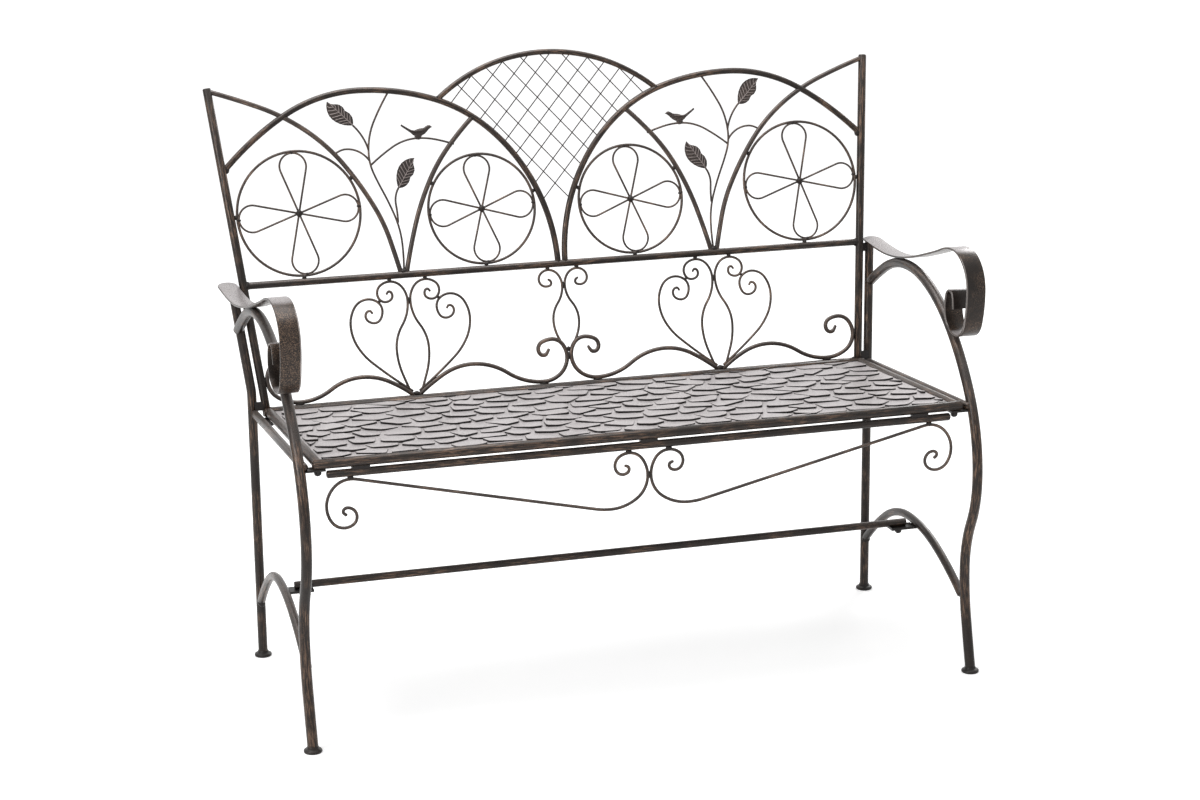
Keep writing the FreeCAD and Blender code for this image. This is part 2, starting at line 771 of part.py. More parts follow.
apron_top = apron_axis - apron_tube / 2 - weld_gap - apron_scroll_rod / 2
apron_neck = (apron_scroll_rod / 2 + touch_gap) / apron_half_length
apron_weld_places = (0.925, 0.064)
apron_slope = math.degrees(math.atan2(0.957 * apron_drop, 0.733 * apron_half_length))
apron_knots = (
    (0.942, 0.635, 45), (0.951, 0.57, 90), (0.9385, 0.505, 180), (0.91, 0.675, -90), (0.947, 0.86, 0),
    (1, 0.47, 90), (apron_weld_places[0], 0, 180), (0.906, 0.013, 180 + apron_slope),
    (0.173, 0.97, 180 + apron_slope), (0.124, 1, 180), (apron_neck, 0.43, 90), (apron_weld_places[1], 0, 0),
    (0.109, 0.22, -90), (0.084, 0.385, 180), (0.064, 0.295, 90), (0.077, 0.23, 0),
)
apron_points = route(*[(u * apron_half_length, apron_top - v * apron_drop, h) for u, v, h in apron_knots])
apron_scroll = rod(apron_points, apron_scroll_rod)
for share in apron_weld_places:
    place, half = share * apron_half_length, weld_tab / 2
    rod_half = apron_scroll_rod / 2
    weld = box(place - half, place + half, -rod_half, rod_half, apron_top, apron_axis)
    apron_scroll = apron_scroll.fuse(weld)
apron_scroll = largest(apron_scroll.translated(Vector(0, -seat_depth, 0)).cut(apron_core))

bearer_end = seat_depth + seat_tube
bearer_place = side_place - bearer_inset
bearer, bearer_core = along_seat(bearer_place, -bearer_drop, -seat_rear_depth, bearer_end, bearer_tube)
lug_top = -seat_tube / 2
lugs = []
for depth in (lug_setback, seat_depth - lug_setback):
    lug = box(half_seat - lug_reach, bearer_place, -depth - lug_width / 2, -depth + lug_width / 2,
              lug_top - lug_thickness, lug_top)
    lugs.append(largest(lug.cut(bearer_core)))

nodes["seat_front_rail"] = tilt(front_rail)
nodes["seat_rear_rail"] = tilt(rear_rail)
nodes["seat_panel"] = tilt(sheet)
nodes["seat_cross_bars"] = tilt(group(*bars))
nodes["apron_rail"] = tilt(apron_rail)
nodes["apron_spacers"] = tilt(group(*apron_spacers))
lugs = [largest(cope(tilt(s), front_core, rear_core)) for s in lugs]
nodes["seat_lugs"] = group(*lugs, *[flip(s) for s in lugs])
spacers = [largest(cope(s, rear_core, tilt(bearer_core))) for s in spacers]
nodes["back_spacers"] = group(*spacers, *[flip(s) for s in spacers])
pair("seat_end_rail", tilt(end_rail))
pair("apron_scroll", tilt(apron_scroll))
pair("seat_bearer", largest(cope(tilt(bearer), rear_core, front_core)))

# Origin on the floor under the middle of the bench

bounds = Part.makeCompound(list(nodes.values())).BoundBox
centred = Vector(0, -(bounds.YMin + bounds.YMax) / 2, 0)
os.makedirs("parts", exist_ok=True)
for name, shape in nodes.items():
    shape.translated(centred).exportStep("parts/" + name + ".step")
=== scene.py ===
import cmath
import math
import random

import bpy
import numpy as np
from mathutils import Matrix, Vector, noise


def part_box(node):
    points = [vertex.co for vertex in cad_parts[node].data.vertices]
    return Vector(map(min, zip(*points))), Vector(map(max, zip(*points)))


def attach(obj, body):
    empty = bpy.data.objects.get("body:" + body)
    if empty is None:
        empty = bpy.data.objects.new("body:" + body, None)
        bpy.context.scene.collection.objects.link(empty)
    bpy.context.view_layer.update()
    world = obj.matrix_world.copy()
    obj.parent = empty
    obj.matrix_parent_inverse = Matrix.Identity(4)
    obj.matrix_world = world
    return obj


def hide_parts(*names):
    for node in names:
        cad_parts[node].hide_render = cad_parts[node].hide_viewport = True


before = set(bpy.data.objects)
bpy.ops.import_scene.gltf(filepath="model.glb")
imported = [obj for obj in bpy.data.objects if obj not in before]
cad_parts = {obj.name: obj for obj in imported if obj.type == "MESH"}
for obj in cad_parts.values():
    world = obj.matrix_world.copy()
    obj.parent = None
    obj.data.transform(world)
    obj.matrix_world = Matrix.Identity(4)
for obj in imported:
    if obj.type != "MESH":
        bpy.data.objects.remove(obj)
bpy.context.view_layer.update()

scene = bpy.context.scene

# Sizes in millimetres, as in the part's source; angles in degrees

upright_tube, rear_leg_tube, front_leg_tube = 13.5, 15.0, 16.5
brace_tube, bearer_tube, seat_tube = 13.5, 13.0, 15.0
mid_rail_tube, bottom_rail_tube, apron_tube, stretcher_tube = 11.5, 10.5, 12.0, 12.0
arch_rod, centre_arch_rod, half_arch_rod, wave_rod = 10.0, 9.0, 8.0, 7.0
scroll_rod, apron_scroll_rod, ring_rod, petal_rod, stem_rod = 4.3, 5.0, 4.5, 3.4, 3.4
lattice_wire = 1.8
round_sides = 14

back_width, back_gap, back_lean, back_splay = 1010.0, 2.5, 14.15, 5.8
upright_top, upright_tail, ear_drop, mid_rail_height = 513.0, 6.5, 2.5, 199.5
arch_start, arch_flank, arch_peak, arch_end_height = 6.0, (100.0, 423.0), (314.0, 499.5), 380.0
centre_arch_radius, centre_arch_height, centre_arch_half_span = 287.0, 546.5, 188.0
fork_place, fork_gap = 264.5, 8.0
ear_bend, ear_flank = (405.0, 440.0), (303.0, 310.0)
inner_arch_flank, inner_arch_top = (208.5, 350.0), (131.0, 446.0)
outer_ring, outer_ring_radius = (426.5, 309.0), 99.3
inner_ring, inner_ring_radius = (126.8, 297.6), 89.0
petal_width, petal_bite, petal_turn = 43.0, 1.5, 3.0
lattice_cell_width, lattice_cell_height, lattice_node_height = 36.0, 40.5, 331.5
weld_gap, weld_bite, touch_gap = 1.5, 0.3, 0.1
heart_place, heart_half_width = 260.0, 98.5
centre_motif_half_width, centre_motif_base = 41.0, 59.0
inner_wave_hump, inner_wave_touch = (165.0, 47.0), 46.0
outer_wave_hump, outer_wave_touch = (347.0, 40.4), 450.0
wave_start_gap, wave_curl_width, wave_curl_height = 5.0, 50.0, 77.0
spray_width = 100.0
leaf_length, leaf_width, leaf_thickness = 56.0, 25.0, 2.0
bird_length = 52.0

foot_depth, foot_diameter, foot_height, foot_splay = 433.0, 28.0, 8.0, 16.0
arm_arch_height, arm_arch_depth, arm_arch_slope, arm_arch_turn = 598.6, 110.0, 8.5, 1.2
arm_joint_drop, shoulder_drop, strap_rear_lift, strap_crest_lift = 58.6, 55.6, 10.4, 68.4
arm_arch, arm_arch_joint_height = (arm_arch_depth, arm_arch_height), arm_arch_height - arm_joint_drop
waist, belly, shoulder = (402.0, 165.0), (442.0, 322.0), (314.0, arm_arch_height - shoulder_drop)
front_leg_offset, knee_bend, knee_height = 3.0, 60.0, 443.0
brace_rear_height, brace_peak, brace_front_height = 90.0, (190.0, 187.0), 112.0
strap_width, strap_thickness, strap_offset, strap_turn = 31.5, 3.0, 7.0, 2.0
strap_tail, strap_rear_height, strap_rear_slope = 17.0, arm_arch_height + strap_rear_lift, 6.0
strap_crest = (345.0, arm_arch_height + strap_crest_lift)
strap_rise_run, strap_rise, strap_rise_slope = 88.0, 22.0, 16.5
strap_scroll_drop, strap_scroll_reach = 133.0, 63.0
post_gap = 3.8

seat_width, seat_depth, seat_rear_depth = 1020.0, 394.0, 22.0
seat_rear_height, seat_front_height, seat_sheet, seat_sheet_sink = 420.0, 443.0, 1.2, 0.6
cross_bar_width, cross_bar_place = 20.0, 170.0
bearer_drop, bearer_inset = 3.0, 3.0
apron_gap, apron_length, apron_drop, apron_half_length = 2.5, 980.0, 84.0, 493.0
stretcher_depth, stretcher_length = 214.0, 1016.0
lug_setback, lug_thickness, tab_thickness = 8.0, 3.0, 4.0

# The camera, fitted to the photograph's perspective
camera_place = (-1.20034, -3.96972, 1.52172)
camera_yaw, camera_pitch, camera_roll = 0.2942, 0.2587, 0.0103
camera_lens = 81.06

# Where the parts of the bench lie

splay = math.tan(math.radians(back_splay))
seat_rear_z = seat_rear_height - seat_tube / 2
back_y = -seat_rear_depth + (seat_tube + bottom_rail_tube) / 2 + back_gap
lean = math.radians(back_lean)
seat_rise = math.asin((seat_front_height - seat_rear_height) / seat_depth)
post_step = ((upright_tube + rear_leg_tube) / 2 + post_gap) / math.cos(math.radians(back_splay))


def upright_place(height):
    return back_width / 2 + height * splay


knee_up = (knee_height - seat_rear_z) / math.cos(lean)
side_place = upright_place(knee_up) + post_step
rear_foot_y = back_y + knee_up * math.sin(lean)
shift_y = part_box("feet")[1].y * 1000 - foot_diameter / 2 - rear_foot_y


def panel(point, out=0.0):
    """A point of the leaning back, from its place across and height up; out is towards the sitter."""
    y = back_y - out * math.cos(lean) + point.imag * math.sin(lean)
    return np.array((point.real, y, seat_rear_z + out * math.sin(lean) + point.imag * math.cos(lean)))


def side(point, offset=0.0, turn=0.0):
    """A point of the right side frame, from its depth forward and height up.

    turn swings it about the front foot.
    """
    behind = foot_depth - point.real
    swing = math.radians(turn)
    return np.array((side_place + offset + behind * math.sin(swing),
                     rear_foot_y - foot_depth + behind * math.cos(swing), point.imag))


def seat(x, depth, z):
    """A point of the seat's own plane, which rises to the front."""
    y = -seat_rear_depth - depth * math.cos(seat_rise) + z * math.sin(seat_rise)
    return np.array((x, y, seat_rear_z + depth * math.sin(seat_rise) + z * math.cos(seat_rise)))


panel_through = np.array((0, math.cos(lean), -math.sin(lean)))
side_through = np.array((1.0, 0, 0))
seat_through = np.array((0, math.cos(seat_rise), -math.sin(seat_rise)))


def swung_through(turn):
    """The way across a piece of the side frame that swings about the front foot."""
    return np.array((aim(turn).real, -aim(turn).imag, 0))


# Lines, as complex numbers: place or depth, and height

def aim(heading):
    return cmath.rect(1, math.radians(heading))


def arc(start, heading, end, stray=0.06, most=9.0):
    """Points of the arc that leaves start along a heading, and its heading at the end."""
    chord = (end - start) / heading
    turn = 2 * cmath.phase(chord)
    if abs(turn) < 1e-6:
        return [end], heading
    radius = abs(chord) / (2 * math.sin(turn / 2))
    limit = min(2 * math.acos(max(1 - stray / abs(radius), 0)), math.radians(most))
    count = math.ceil(abs(turn) / limit)
    angles = [turn * i / count for i in range(1, count + 1)]
    points = [start + heading * radius * complex(math.sin(a), 1 - math.cos(a)) for a in angles]
    return points, heading * cmath.rect(1, turn)


def route(*knots):
    """Tangent arcs through knots of place, height and heading."""
    points = [complex(*knots[0][:2])]
    for (x0, z0, h0), (x1, z1, h1) in zip(knots, knots[1:]):
        start, end, leave, arrive = complex(x0, z0), complex(x1, z1), aim(h0), aim(h1)
        chord = end - start
        spread = 2 * (1 - (leave * arrive.conjugate()).real)
        along = (chord * (leave + arrive).conjugate()).real
        if spread < 1e-9:
            reach = abs(chord) ** 2 / (2 * along)
        else:
            reach = (math.sqrt(along ** 2 + spread * abs(chord) ** 2) - along) / spread
        middle = (start + end + (leave - arrive) * reach) / 2
        first, heading = arc(start, leave, middle)
        points += first + arc(middle, heading, end)[0]
    return points


def sized(knots, start, width, height):
    """Knots given in shares of a width and a height, counted from a start."""
    return [(start.real + u * width, start.imag + v * height, h) for u, v, h in knots]


# Pieces of the bench, gathered as meshes

def circle(width, sides=round_sides):
    angles = [2 * math.pi * i / sides for i in range(sides)]
    return [(width / 2 * math.cos(a), width / 2 * math.sin(a)) for a in angles]


def rounded_bar(width, height, radius, steps=3):
    """The outline of a flat bar with rounded edges."""
    outline = []
    for corner in range(4):
        x = (width / 2 - radius) * (1 if corner in (0, 3) else -1)
        z = (height / 2 - radius) * (1 if corner in (0, 1) else -1)
        for i in range(steps + 1):
            angle = math.pi / 2 * (corner + i / steps)
            outline.append((x + radius * math.cos(angle), z + radius * math.sin(angle)))
    return outline


def unit(v):
    return v / np.maximum(np.linalg.norm(v, axis=-1, keepdims=True), 1e-12)


def tube_faces(rings, sides, closed=False):
    """Quads between rings of points that follow each other."""
    faces = []
    for j in range(rings if closed else rings - 1):
        k = (j + 1) % rings
        for i in range(sides):
            n = (i + 1) % sides
            faces.append((j * sides + i, j * sides + n, k * sides + n, k * sides + i))
    return faces


def end_faces(rings, sides):
    return [tuple(range(sides - 1, -1, -1)), tuple((rings - 1) * sides + i for i in range(sides))]


def placed(name, data):
    made = bpy.data.objects.new(name, data)
    scene.collection.objects.link(made)
    return made


class Piece:
    """One piece's points, faces and paint grain, in millimetres."""

    def __init__(self):
        self.points, self.faces, self.grain = [], [], []

    def add(self, points, faces, grain=None):
        first = len(self.points)
        self.points += [tuple(p) for p in points]
        self.faces += [tuple(first + i for i in face) for face in faces]
        self.grain += [tuple(g) for g in (points if grain is None else grain)]

    def bar(self, path, outline, through, closed=False, scale=None, cap=(0.25, 0.45)):
        """An outline swept along a path; cap gives how far its ends round off, in half widths."""
        path = np.array(path, float)
        steps = unit(np.diff(path, axis=0))
        if closed:
            steps = np.vstack([steps, unit(path[:1] - path[-1:])])
            tangents = unit(steps + np.roll(steps, 1, axis=0))
        else:
            tangents = unit(np.vstack([steps[:1], steps[1:] + steps[:-1], steps[-1:]]))
        across = unit(np.cross(tangents, through))
        up = np.cross(across, tangents)
        outline = np.array(outline)
        scale = np.ones((len(path), 1)) if scale is None else np.array(scale, float).reshape(len(path), -1)
        half = np.abs(outline).max()
        run = np.concatenate([[0], np.cumsum(np.linalg.norm(np.diff(path, axis=0), axis=1))])
        rings, grains = [], []

        def ring(i, size, advance):
            centre = path[i] + tangents[i] * advance
            flat = outline * size
            rings.append(centre + across[i][None] * flat[:, :1] + up[i][None] * flat[:, 1:])
            along = np.full((len(outline), 1), run[i] + advance)
            grains.append(np.hstack([outline, along]))

        shoulder_size, tip_size = 0.85, 0.5
        if not closed:
            ring(0, scale[0] * tip_size, -half * cap[1] * scale[0, 0])
            ring(0, scale[0] * shoulder_size, -half * cap[0] * scale[0, 0])
        for i in range(len(path)):
            ring(i, scale[i], 0.0)
        if not closed:
            ring(-1, scale[-1] * shoulder_size, half * cap[0] * scale[-1, 0])
            ring(-1, scale[-1] * tip_size, half * cap[1] * scale[-1, 0])
        faces = tube_faces(len(rings), len(outline), closed)
        if not closed:
            faces += end_faces(len(rings), len(outline))
        self.add(np.vstack(rings), faces, np.vstack(grains))
        return self

    def rod(self, path, width, through, **options):
        return self.bar(path, circle(width), through, **options)

    def turned(self, base, axis, profile, sides=24):
        """A turned form: a profile of radius and height, round an axis that starts at base."""
        axis = unit(np.array(axis, float))
        askew = (0.3, 0.9, 0.1)
        across = unit(np.cross(axis, askew))
        up = np.cross(axis, across)
        points = []
        for radius, height in profile:
            for i in range(sides):
                angle = 2 * math.pi * i / sides
                out = across * math.cos(angle) + up * math.sin(angle)
                points.append(base + axis * height + out * radius)
        self.add(points, tube_faces(len(profile), sides) + end_faces(len(profile), sides))
        return self

    def bead(self, centre, size, along=None, stretch=1.0, seed=0):
        """A lump of weld, rough all over."""
        points, faces = [], []
        rows, columns, lump_scale, lump_size = 7, 10, 1.7, 0.28
        along = unit(np.array(along, float)) if along is not None else np.array((1.0, 0, 0))
        for j in range(rows + 1):
            for i in range(columns):
                polar, angle = math.pi * j / rows, 2 * math.pi * i / columns
                way = np.array((math.sin(polar) * math.cos(angle), math.sin(polar) * math.sin(angle),
                                math.cos(polar)))
                rough = noise.noise(Vector(way) * lump_scale + Vector((seed * 3.1, seed * 1.7, 0)))
                way = way + along * way.dot(along) * (stretch - 1)
                points.append(centre + way * size * (1 + lump_size * rough))
        for j in range(rows):
            for i in range(columns):
                k = (i + 1) % columns
                faces.append((j * columns + i, (j + 1) * columns + i, (j + 1) * columns + k, j * columns + k))
        self.add(points, faces)
        return self

    def make(self, name, material, *nodes, flip=False, slot="frame_paint", crease=38):
        """The Blender object, riding on the bench; flip gives the left one of a pair."""
        points = (np.array(self.points) + (0, shift_y, 0)) / 1000
        faces = self.faces
        if flip:
            points = points * (-1, 1, 1)
            faces = [face[::-1] for face in faces]
        mesh = bpy.data.meshes.new(name)
        mesh.from_pydata(points.tolist(), [], faces)
        mesh.validate()
        mesh.polygons.foreach_set("use_smooth", [True] * len(mesh.polygons))
        mesh.set_sharp_from_angle(angle=math.radians(crease))
        grain = mesh.attributes.new("grain", "FLOAT_VECTOR", "POINT")
        start = random.Random(name).uniform(0, 900)
        grain.data.foreach_set("vector", (np.array(self.grain) + start).astype(np.float32).ravel())
        mesh.materials.append(material)
        made = placed(name, mesh)
        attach(made, "root")
        if nodes:
            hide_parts(*nodes)
        return made


both_sides = ((1, "right_"), (-1, "left_"))


def pair(piece, name, material, replaced=True, **options):
    """A piece on the right and its mirror on the left, each in place of its solid where it has one."""
    for hand, prefix in both_sides:
        nodes = [prefix + name] if replaced else []
        piece.make(prefix + name + "_piece", material, *nodes, flip=hand < 0, **options)


# Materials

class Shader:
    """A short way to write the nodes of a material or of the world."""

    def __init__(self, owner, surface="Principled BSDF"):
        owner.use_nodes = True
        self.owner, self.tree = owner, owner.node_tree
        self.surface = self.tree.nodes[surface]

    def feed(self, node, inputs):
        """Gives a node's inputs constants or the outputs of other nodes."""
        for key, value in inputs.items():
            socket = node.inputs[key]
            if isinstance(value, bpy.types.NodeSocket):
                self.tree.links.new(value, socket)
            else:
                socket.default_value = (*value, 1) if socket.type == "RGBA" else value
        return node

    def node(self, kind, inputs=None, **settings):
        made = self.tree.nodes.new(kind)
        for key, value in settings.items():
            setattr(made, key, value)
        return self.feed(made, inputs or {})

    def noise(self, vector, scale, detail, roughness=0.6):
        inputs = {"Vector": vector, "Scale": scale, "Detail": detail, "Roughness": roughness}
        return self.node("ShaderNodeTexNoise", inputs).outputs["Fac"]

    def span(self, value, low, high, to_low=0.0, to_high=1.0):
        inputs = {"Value": value, "From Min": low, "From Max": high, "To Min": to_low, "To Max": to_high}
        return self.node("ShaderNodeMapRange", inputs, interpolation_type="SMOOTHSTEP").outputs["Result"]

    def times(self, a, b):
        return self.node("ShaderNodeMath", {0: a, 1: b}, operation="MULTIPLY").outputs[0]

    def mix(self, factor, a, b):
        inputs = {"Factor": factor, "A": a, "B": b}
        return self.node("ShaderNodeMix", inputs, data_type="RGBA").outputs["Result"]


grain_stretch = (0.001, 0.001, 0.00007)
streak_scale, patch_scale, speck_scale = 620.0, 14.0, 900.0


def brushed_paint(name, dark, copper, dust_and_sheen, streaks, dust_and_sheen_share, gloss=0.31, grained=True,
                  level=(0.25, 0.95)):
    """Dark paint, rubbed over with copper along the bars, and painted paler where it faces up: partly a dust
    tint, partly painted sheen and highlight standing in for light from above.
    """
    s = Shader(bpy.data.materials.new(name))
    grain = coordinates = s.node("ShaderNodeTexCoord").outputs["Object"]
    if grained:
        lengthwise = s.node("ShaderNodeAttribute", attribute_name="grain").outputs["Vector"]
        stretch = s.node("ShaderNodeVectorMath", {0: lengthwise, 1: grain_stretch}, operation="MULTIPLY")
        grain = stretch.outputs["Vector"]
    streak = s.span(s.noise(grain, streak_scale, detail=5.0, roughness=0.7), 0.47, 0.63)
    patch = s.span(s.noise(coordinates, patch_scale, detail=3.0), 0.36, 0.62)
    speck = s.noise(coordinates, speck_scale, detail=3.0, roughness=0.7)
    rubbed = s.times(s.times(streak, patch), streaks)
    # Painted sheen: faces that point up are made paler, as if lit from above and reflecting the white, with a
    # dust tint as well
    normal = s.node("ShaderNodeNewGeometry").outputs["Normal"]
    facing_up_sheen = s.span(s.node("ShaderNodeSeparateXYZ", {0: normal}).outputs["Z"], *level)
    dust_and_sheen_mask = s.times(s.times(facing_up_sheen, s.span(speck, 0.35, 0.6, 0.45, 1.0)), dust_and_sheen_share)
    bump = s.node("ShaderNodeBump", {"Strength": 0.22, "Distance": 0.0005, "Height": speck})
    s.feed(s.surface, {
        "Base Color": s.mix(dust_and_sheen_mask, s.mix(rubbed, dark, copper), dust_and_sheen),
        "Roughness": s.span(speck, 0.3, 0.7, gloss - 0.07, gloss + 0.1),
        "Metallic": 0.25,
        "Specular IOR Level": 0.34,
        "Normal": bump.outputs["Normal"],
    })
    return s.owner


dark_brown = (0.015, 0.011, 0.009)
copper_rub = (0.25, 0.152, 0.10)
# Pale colour mixed in on up-facing faces: a dust tint and painted sheen from the light above
pale_dust_and_sheen = (0.24, 0.212, 0.20)
# Painted sheen on the armrest's flat top, standing in for the white it reflects
strap_sheen = (0.46, 0.43, 0.43)
sheltered = {"streaks": 0.4, "dust_and_sheen_share": 0.4, "grained": False}
bar_paint = brushed_paint("bar_paint", dark_brown, copper_rub, pale_dust_and_sheen, streaks=0.7, dust_and_sheen_share=0.45)
rail_paint = brushed_paint("rail_paint", dark_brown, copper_rub, pale_dust_and_sheen, streaks=0.7, dust_and_sheen_share=0.1)
rod_paint = brushed_paint("rod_paint", (0.04, 0.031, 0.027), (0.27, 0.18, 0.13), pale_dust_and_sheen,
                          streaks=0.8, dust_and_sheen_share=0.5)
strap_paint = brushed_paint("strap_paint", dark_brown, (0.20, 0.13, 0.09), strap_sheen,
                            streaks=0.8, dust_and_sheen_share=0.85, gloss=0.29, grained=False, level=(0.93, 0.995))
# Painted highlight: pale paint for the rims that stand in for light caught by the strap's edges
rim_highlight_paint = brushed_paint("rim_highlight_paint", (0.16, 0.14, 0.13), (0.46, 0.42, 0.40), (0.46, 0.43, 0.42),
                          streaks=0.9, dust_and_sheen_share=0.5, gloss=0.3)
# Seat: a pale painted sheen on the up-facing stone tops and sheet, while the risers keep the dark paint
seat_paint = brushed_paint("seat_paint", (0.008, 0.006, 0.006), (0.05, 0.035, 0.03), (0.60, 0.56, 0.56),
                           streaks=0.3, dust_and_sheen_share=0.97, gloss=0.36, grained=False)
leaf_paint = brushed_paint("leaf_paint", (0.03, 0.024, 0.022), (0.17, 0.125, 0.105), pale_dust_and_sheen,
                           streaks=0.7, dust_and_sheen_share=0.3, gloss=0.4, grained=False)
vein_paint = brushed_paint("vein_paint", (0.26, 0.22, 0.21), (0.56, 0.48, 0.46), pale_dust_and_sheen,
                           streaks=0.9, dust_and_sheen_share=0.3, gloss=0.35)
weld_paint = brushed_paint("weld_paint", (0.014, 0.011, 0.010), (0.07, 0.04, 0.026), (0.05, 0.044, 0.042),
                           gloss=0.5, **sheltered)
glide_paint = brushed_paint("glide_paint", (0.012, 0.010, 0.009), (0.06, 0.035, 0.022), (0.06, 0.053, 0.05),
                            gloss=0.36, **sheltered)
fitting_paint = brushed_paint("fitting_paint", (0.012, 0.010, 0.010), (0.05, 0.034, 0.026),
                              (0.06, 0.055, 0.052), gloss=0.34, **sheltered)
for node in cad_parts.values():
    node.data.materials.clear()
    node.data.materials.append(fitting_paint)

# Half widths of the weld beads, and offsets of their places
petal_bead, hub_bead, touch_bead, scroll_bead, curl_bead = 2.8, 5.6, 3.6, 4.0, 3.4
cheek_bead, neck_bead, waist_bead, heart_bead = 2.6, 2.9, 3.0, 4.4
arch_bead, half_arch_bead, apron_neck_bead, brace_bead, strap_bead = 5.0, 4.8, 3.2, 6.5, 4.0
wave_weld_lift, heart_weld_lift, curl_weld_lift, apron_weld_lift = 0.5, 1.5, 2.5, 2.0
brace_weld_lift, arch_weld_lift, strap_weld_offset = 4.0, 5.0, 5.0
centre_weld_inset, centre_weld_lift = 2.0, 2.5
welds = Piece()


def weld(point, size, along=None, stretch=1.0, hands=(1, -1)):
    """A bead on the right of the bench and its mirror on the left."""
    for hand in hands:
        place = np.array(point) * (hand, 1, 1)
        way = None if along is None else np.array(along) * (hand, 1, 1)
        welds.bead(place, size, way, stretch, seed=len(welds.points))


# Back panel

def in_panel(points, out=0.0):
    return [panel(p, out) for p in points]


def back_bar(points, width, **options):
    return Piece().rod(in_panel(points), width, panel_through, **options)


upright_ends = [complex(upright_place(t), t) for t in (-upright_tail, upright_top)]
pair(back_bar(upright_ends, upright_tube, cap=(0.28, 0.29)), "back_upright", bar_paint)
for name, height, width in (("mid_rail", mid_rail_height, mid_rail_tube),
                            ("bottom_rail", 0.0, bottom_rail_tube)):
    end = upright_place(height)
    back_bar([complex(-end, height), complex(end, height)], width).make(name + "_piece", bar_paint, name)
    weld(panel(complex(end - upright_tube / 2, height)), width * 0.54, (0, 0, 1), 1.1)

arch_points = route((arch_start, mid_rail_height, 90), (*arch_flank, 44), (*arch_peak, 0),
                    (upright_place(arch_end_height), arch_end_height, -47))
pair(back_bar(arch_points, arch_rod), "back_arch", bar_paint)
centre_axis = centre_arch_height - centre_arch_radius
centre_swing = math.degrees(math.asin(centre_arch_half_span / centre_arch_radius))
centre_end = centre_axis + math.sqrt(centre_arch_radius ** 2 - centre_arch_half_span ** 2)
centre_points = route((-centre_arch_half_span, centre_end, centre_swing), (0, centre_arch_height, 0),
                      (centre_arch_half_span, centre_end, -centre_swing))
back_bar(centre_points, centre_arch_rod).make("centre_arch_piece", bar_paint, "centre_arch")
ear_points = route((upright_place(upright_top), upright_top - ear_drop, 198), (*ear_bend, 217),
                   (*ear_flank, 243), (fork_place + fork_gap / 2, mid_rail_height, 257))
pair(back_bar(ear_points, half_arch_rod), "ear_arch", rod_paint)
inner_arch_points = route((fork_place - fork_gap / 2, mid_rail_height, 103), (*inner_arch_flank, 118),
                          (*inner_arch_top, 137))
pair(back_bar(inner_arch_points, half_arch_rod), "inner_arch", rod_paint)


def lattice():
    """Straight wires both ways, kept between the centre arch and the two large ones."""
    wires = Piece()
    arch_x = [p.real for p in arch_points]
    arch_z = [p.imag for p in arch_points]

    def inside(x, z):
        if math.hypot(x, z - centre_axis) > centre_arch_radius:
            return False
        return abs(x) < arch_start or z > np.interp(abs(x), arch_x, arch_z)

    rise = lattice_cell_height / lattice_cell_width
    rows, samples, largest_step, fewest_samples = 12, 1504, 1.0, 8
    xs = np.linspace(-centre_arch_half_span, centre_arch_half_span, samples)
    for lay in (1, -1):
        for i in range(rows):
            height = lattice_node_height + i * lattice_cell_height
            kept = [x for x in xs if inside(x, height + x * rise) and height + x * rise > mid_rail_height]
            runs = np.split(kept, np.where(np.diff(kept) > largest_step)[0] + 1) if kept else []
            for run in runs:
                if len(run) > fewest_samples:
                    ends = [complex(lay * x, height + x * rise) for x in (run[0], run[-1])]
                    wires.bar(in_panel(ends, lay * lattice_wire / 2), circle(lattice_wire, 8), panel_through)
    return wires


lattice().make("lattice_piece", weld_paint, "lattice")


def medallion(place, radius, tabs, hand):
    """A ring with four petal loops and a boss, with weld where it meets its neighbours."""
    piece = Piece()
    centre = complex(*place)
    steps, petal_weld_inset = 72, 1.5
    ring_points = [centre + radius * aim(360 * i / steps) for i in range(steps)]
    piece.rod(in_panel(ring_points), ring_rod, panel_through, closed=True)
    tip = petal_width / 2
    hub = radius - tip - (ring_rod + petal_rod) / 2 + petal_bite
    half = math.degrees(math.asin(tip / hub))
    reach = math.sqrt(hub ** 2 - tip ** 2)
    for quarter in range(4):
        turn = 90 * quarter + hand * petal_turn
        ends = [aim(turn - half) * reach, aim(turn + half) * reach]
        loop = [0, ends[0]] + arc(ends[0], aim(turn - half), ends[1])[0] + [0]
        piece.rod(in_panel([centre + p for p in loop]), petal_rod, panel_through)
        weld(panel(centre + aim(turn) * (radius - petal_weld_inset)), petal_bead, (1, 0, 0.3), 1.4, (hand,))
    weld(panel(centre), hub_bead, hands=(hand,))
    for heading, gap in tabs:
        weld(panel(centre + aim(heading) * (radius + gap)), touch_bead, hands=(hand,))
    return piece


for name, ring, radius, tabs in (
    ("outer_medallion", outer_ring, outer_ring_radius, ((-90, 3), (0, 2), (150, 2))),
    ("inner_medallion", inner_ring, inner_ring_radius, ((-90, 2), (30, 2), (165, 2))),
):
    for hand, prefix in both_sides:
        flower = medallion(ring, radius, tabs, hand)
        flower.make(prefix + name + "_piece", rod_paint, prefix + name, flip=hand < 0)

# Waves, hearts and centre scrolls

rail_top = bottom_rail_tube / 2
curl_top = mid_rail_height - mid_rail_tube / 2 - weld_gap - scroll_rod / 2
wave_touch = rail_top + wave_rod / 2
bulge_share = 0.62
bulge_height = wave_curl_height * bulge_share


def tapered(points, share=0.72, run=5):
    """Sizes along a bar that thins at its last few points, as a drawn scroll end does."""
    sizes = np.ones(len(points))
    sizes[-run:] = np.linspace(1, share, run)
    return sizes


def wave_curl(x, way):
    """The end of a wave, from where it stands upright at x, curling away in the direction given."""
    knots = ((0, bulge_share, 90), (0.49, 1, 90 - 90 * way), (0.96, 0.8, -90), (0.79, 0.67, 90 + 90 * way),
             (0.6, 0.79, 90 + 25 * way))
    return sized(knots, complex(x, 0), way * wave_curl_width, wave_curl_height)


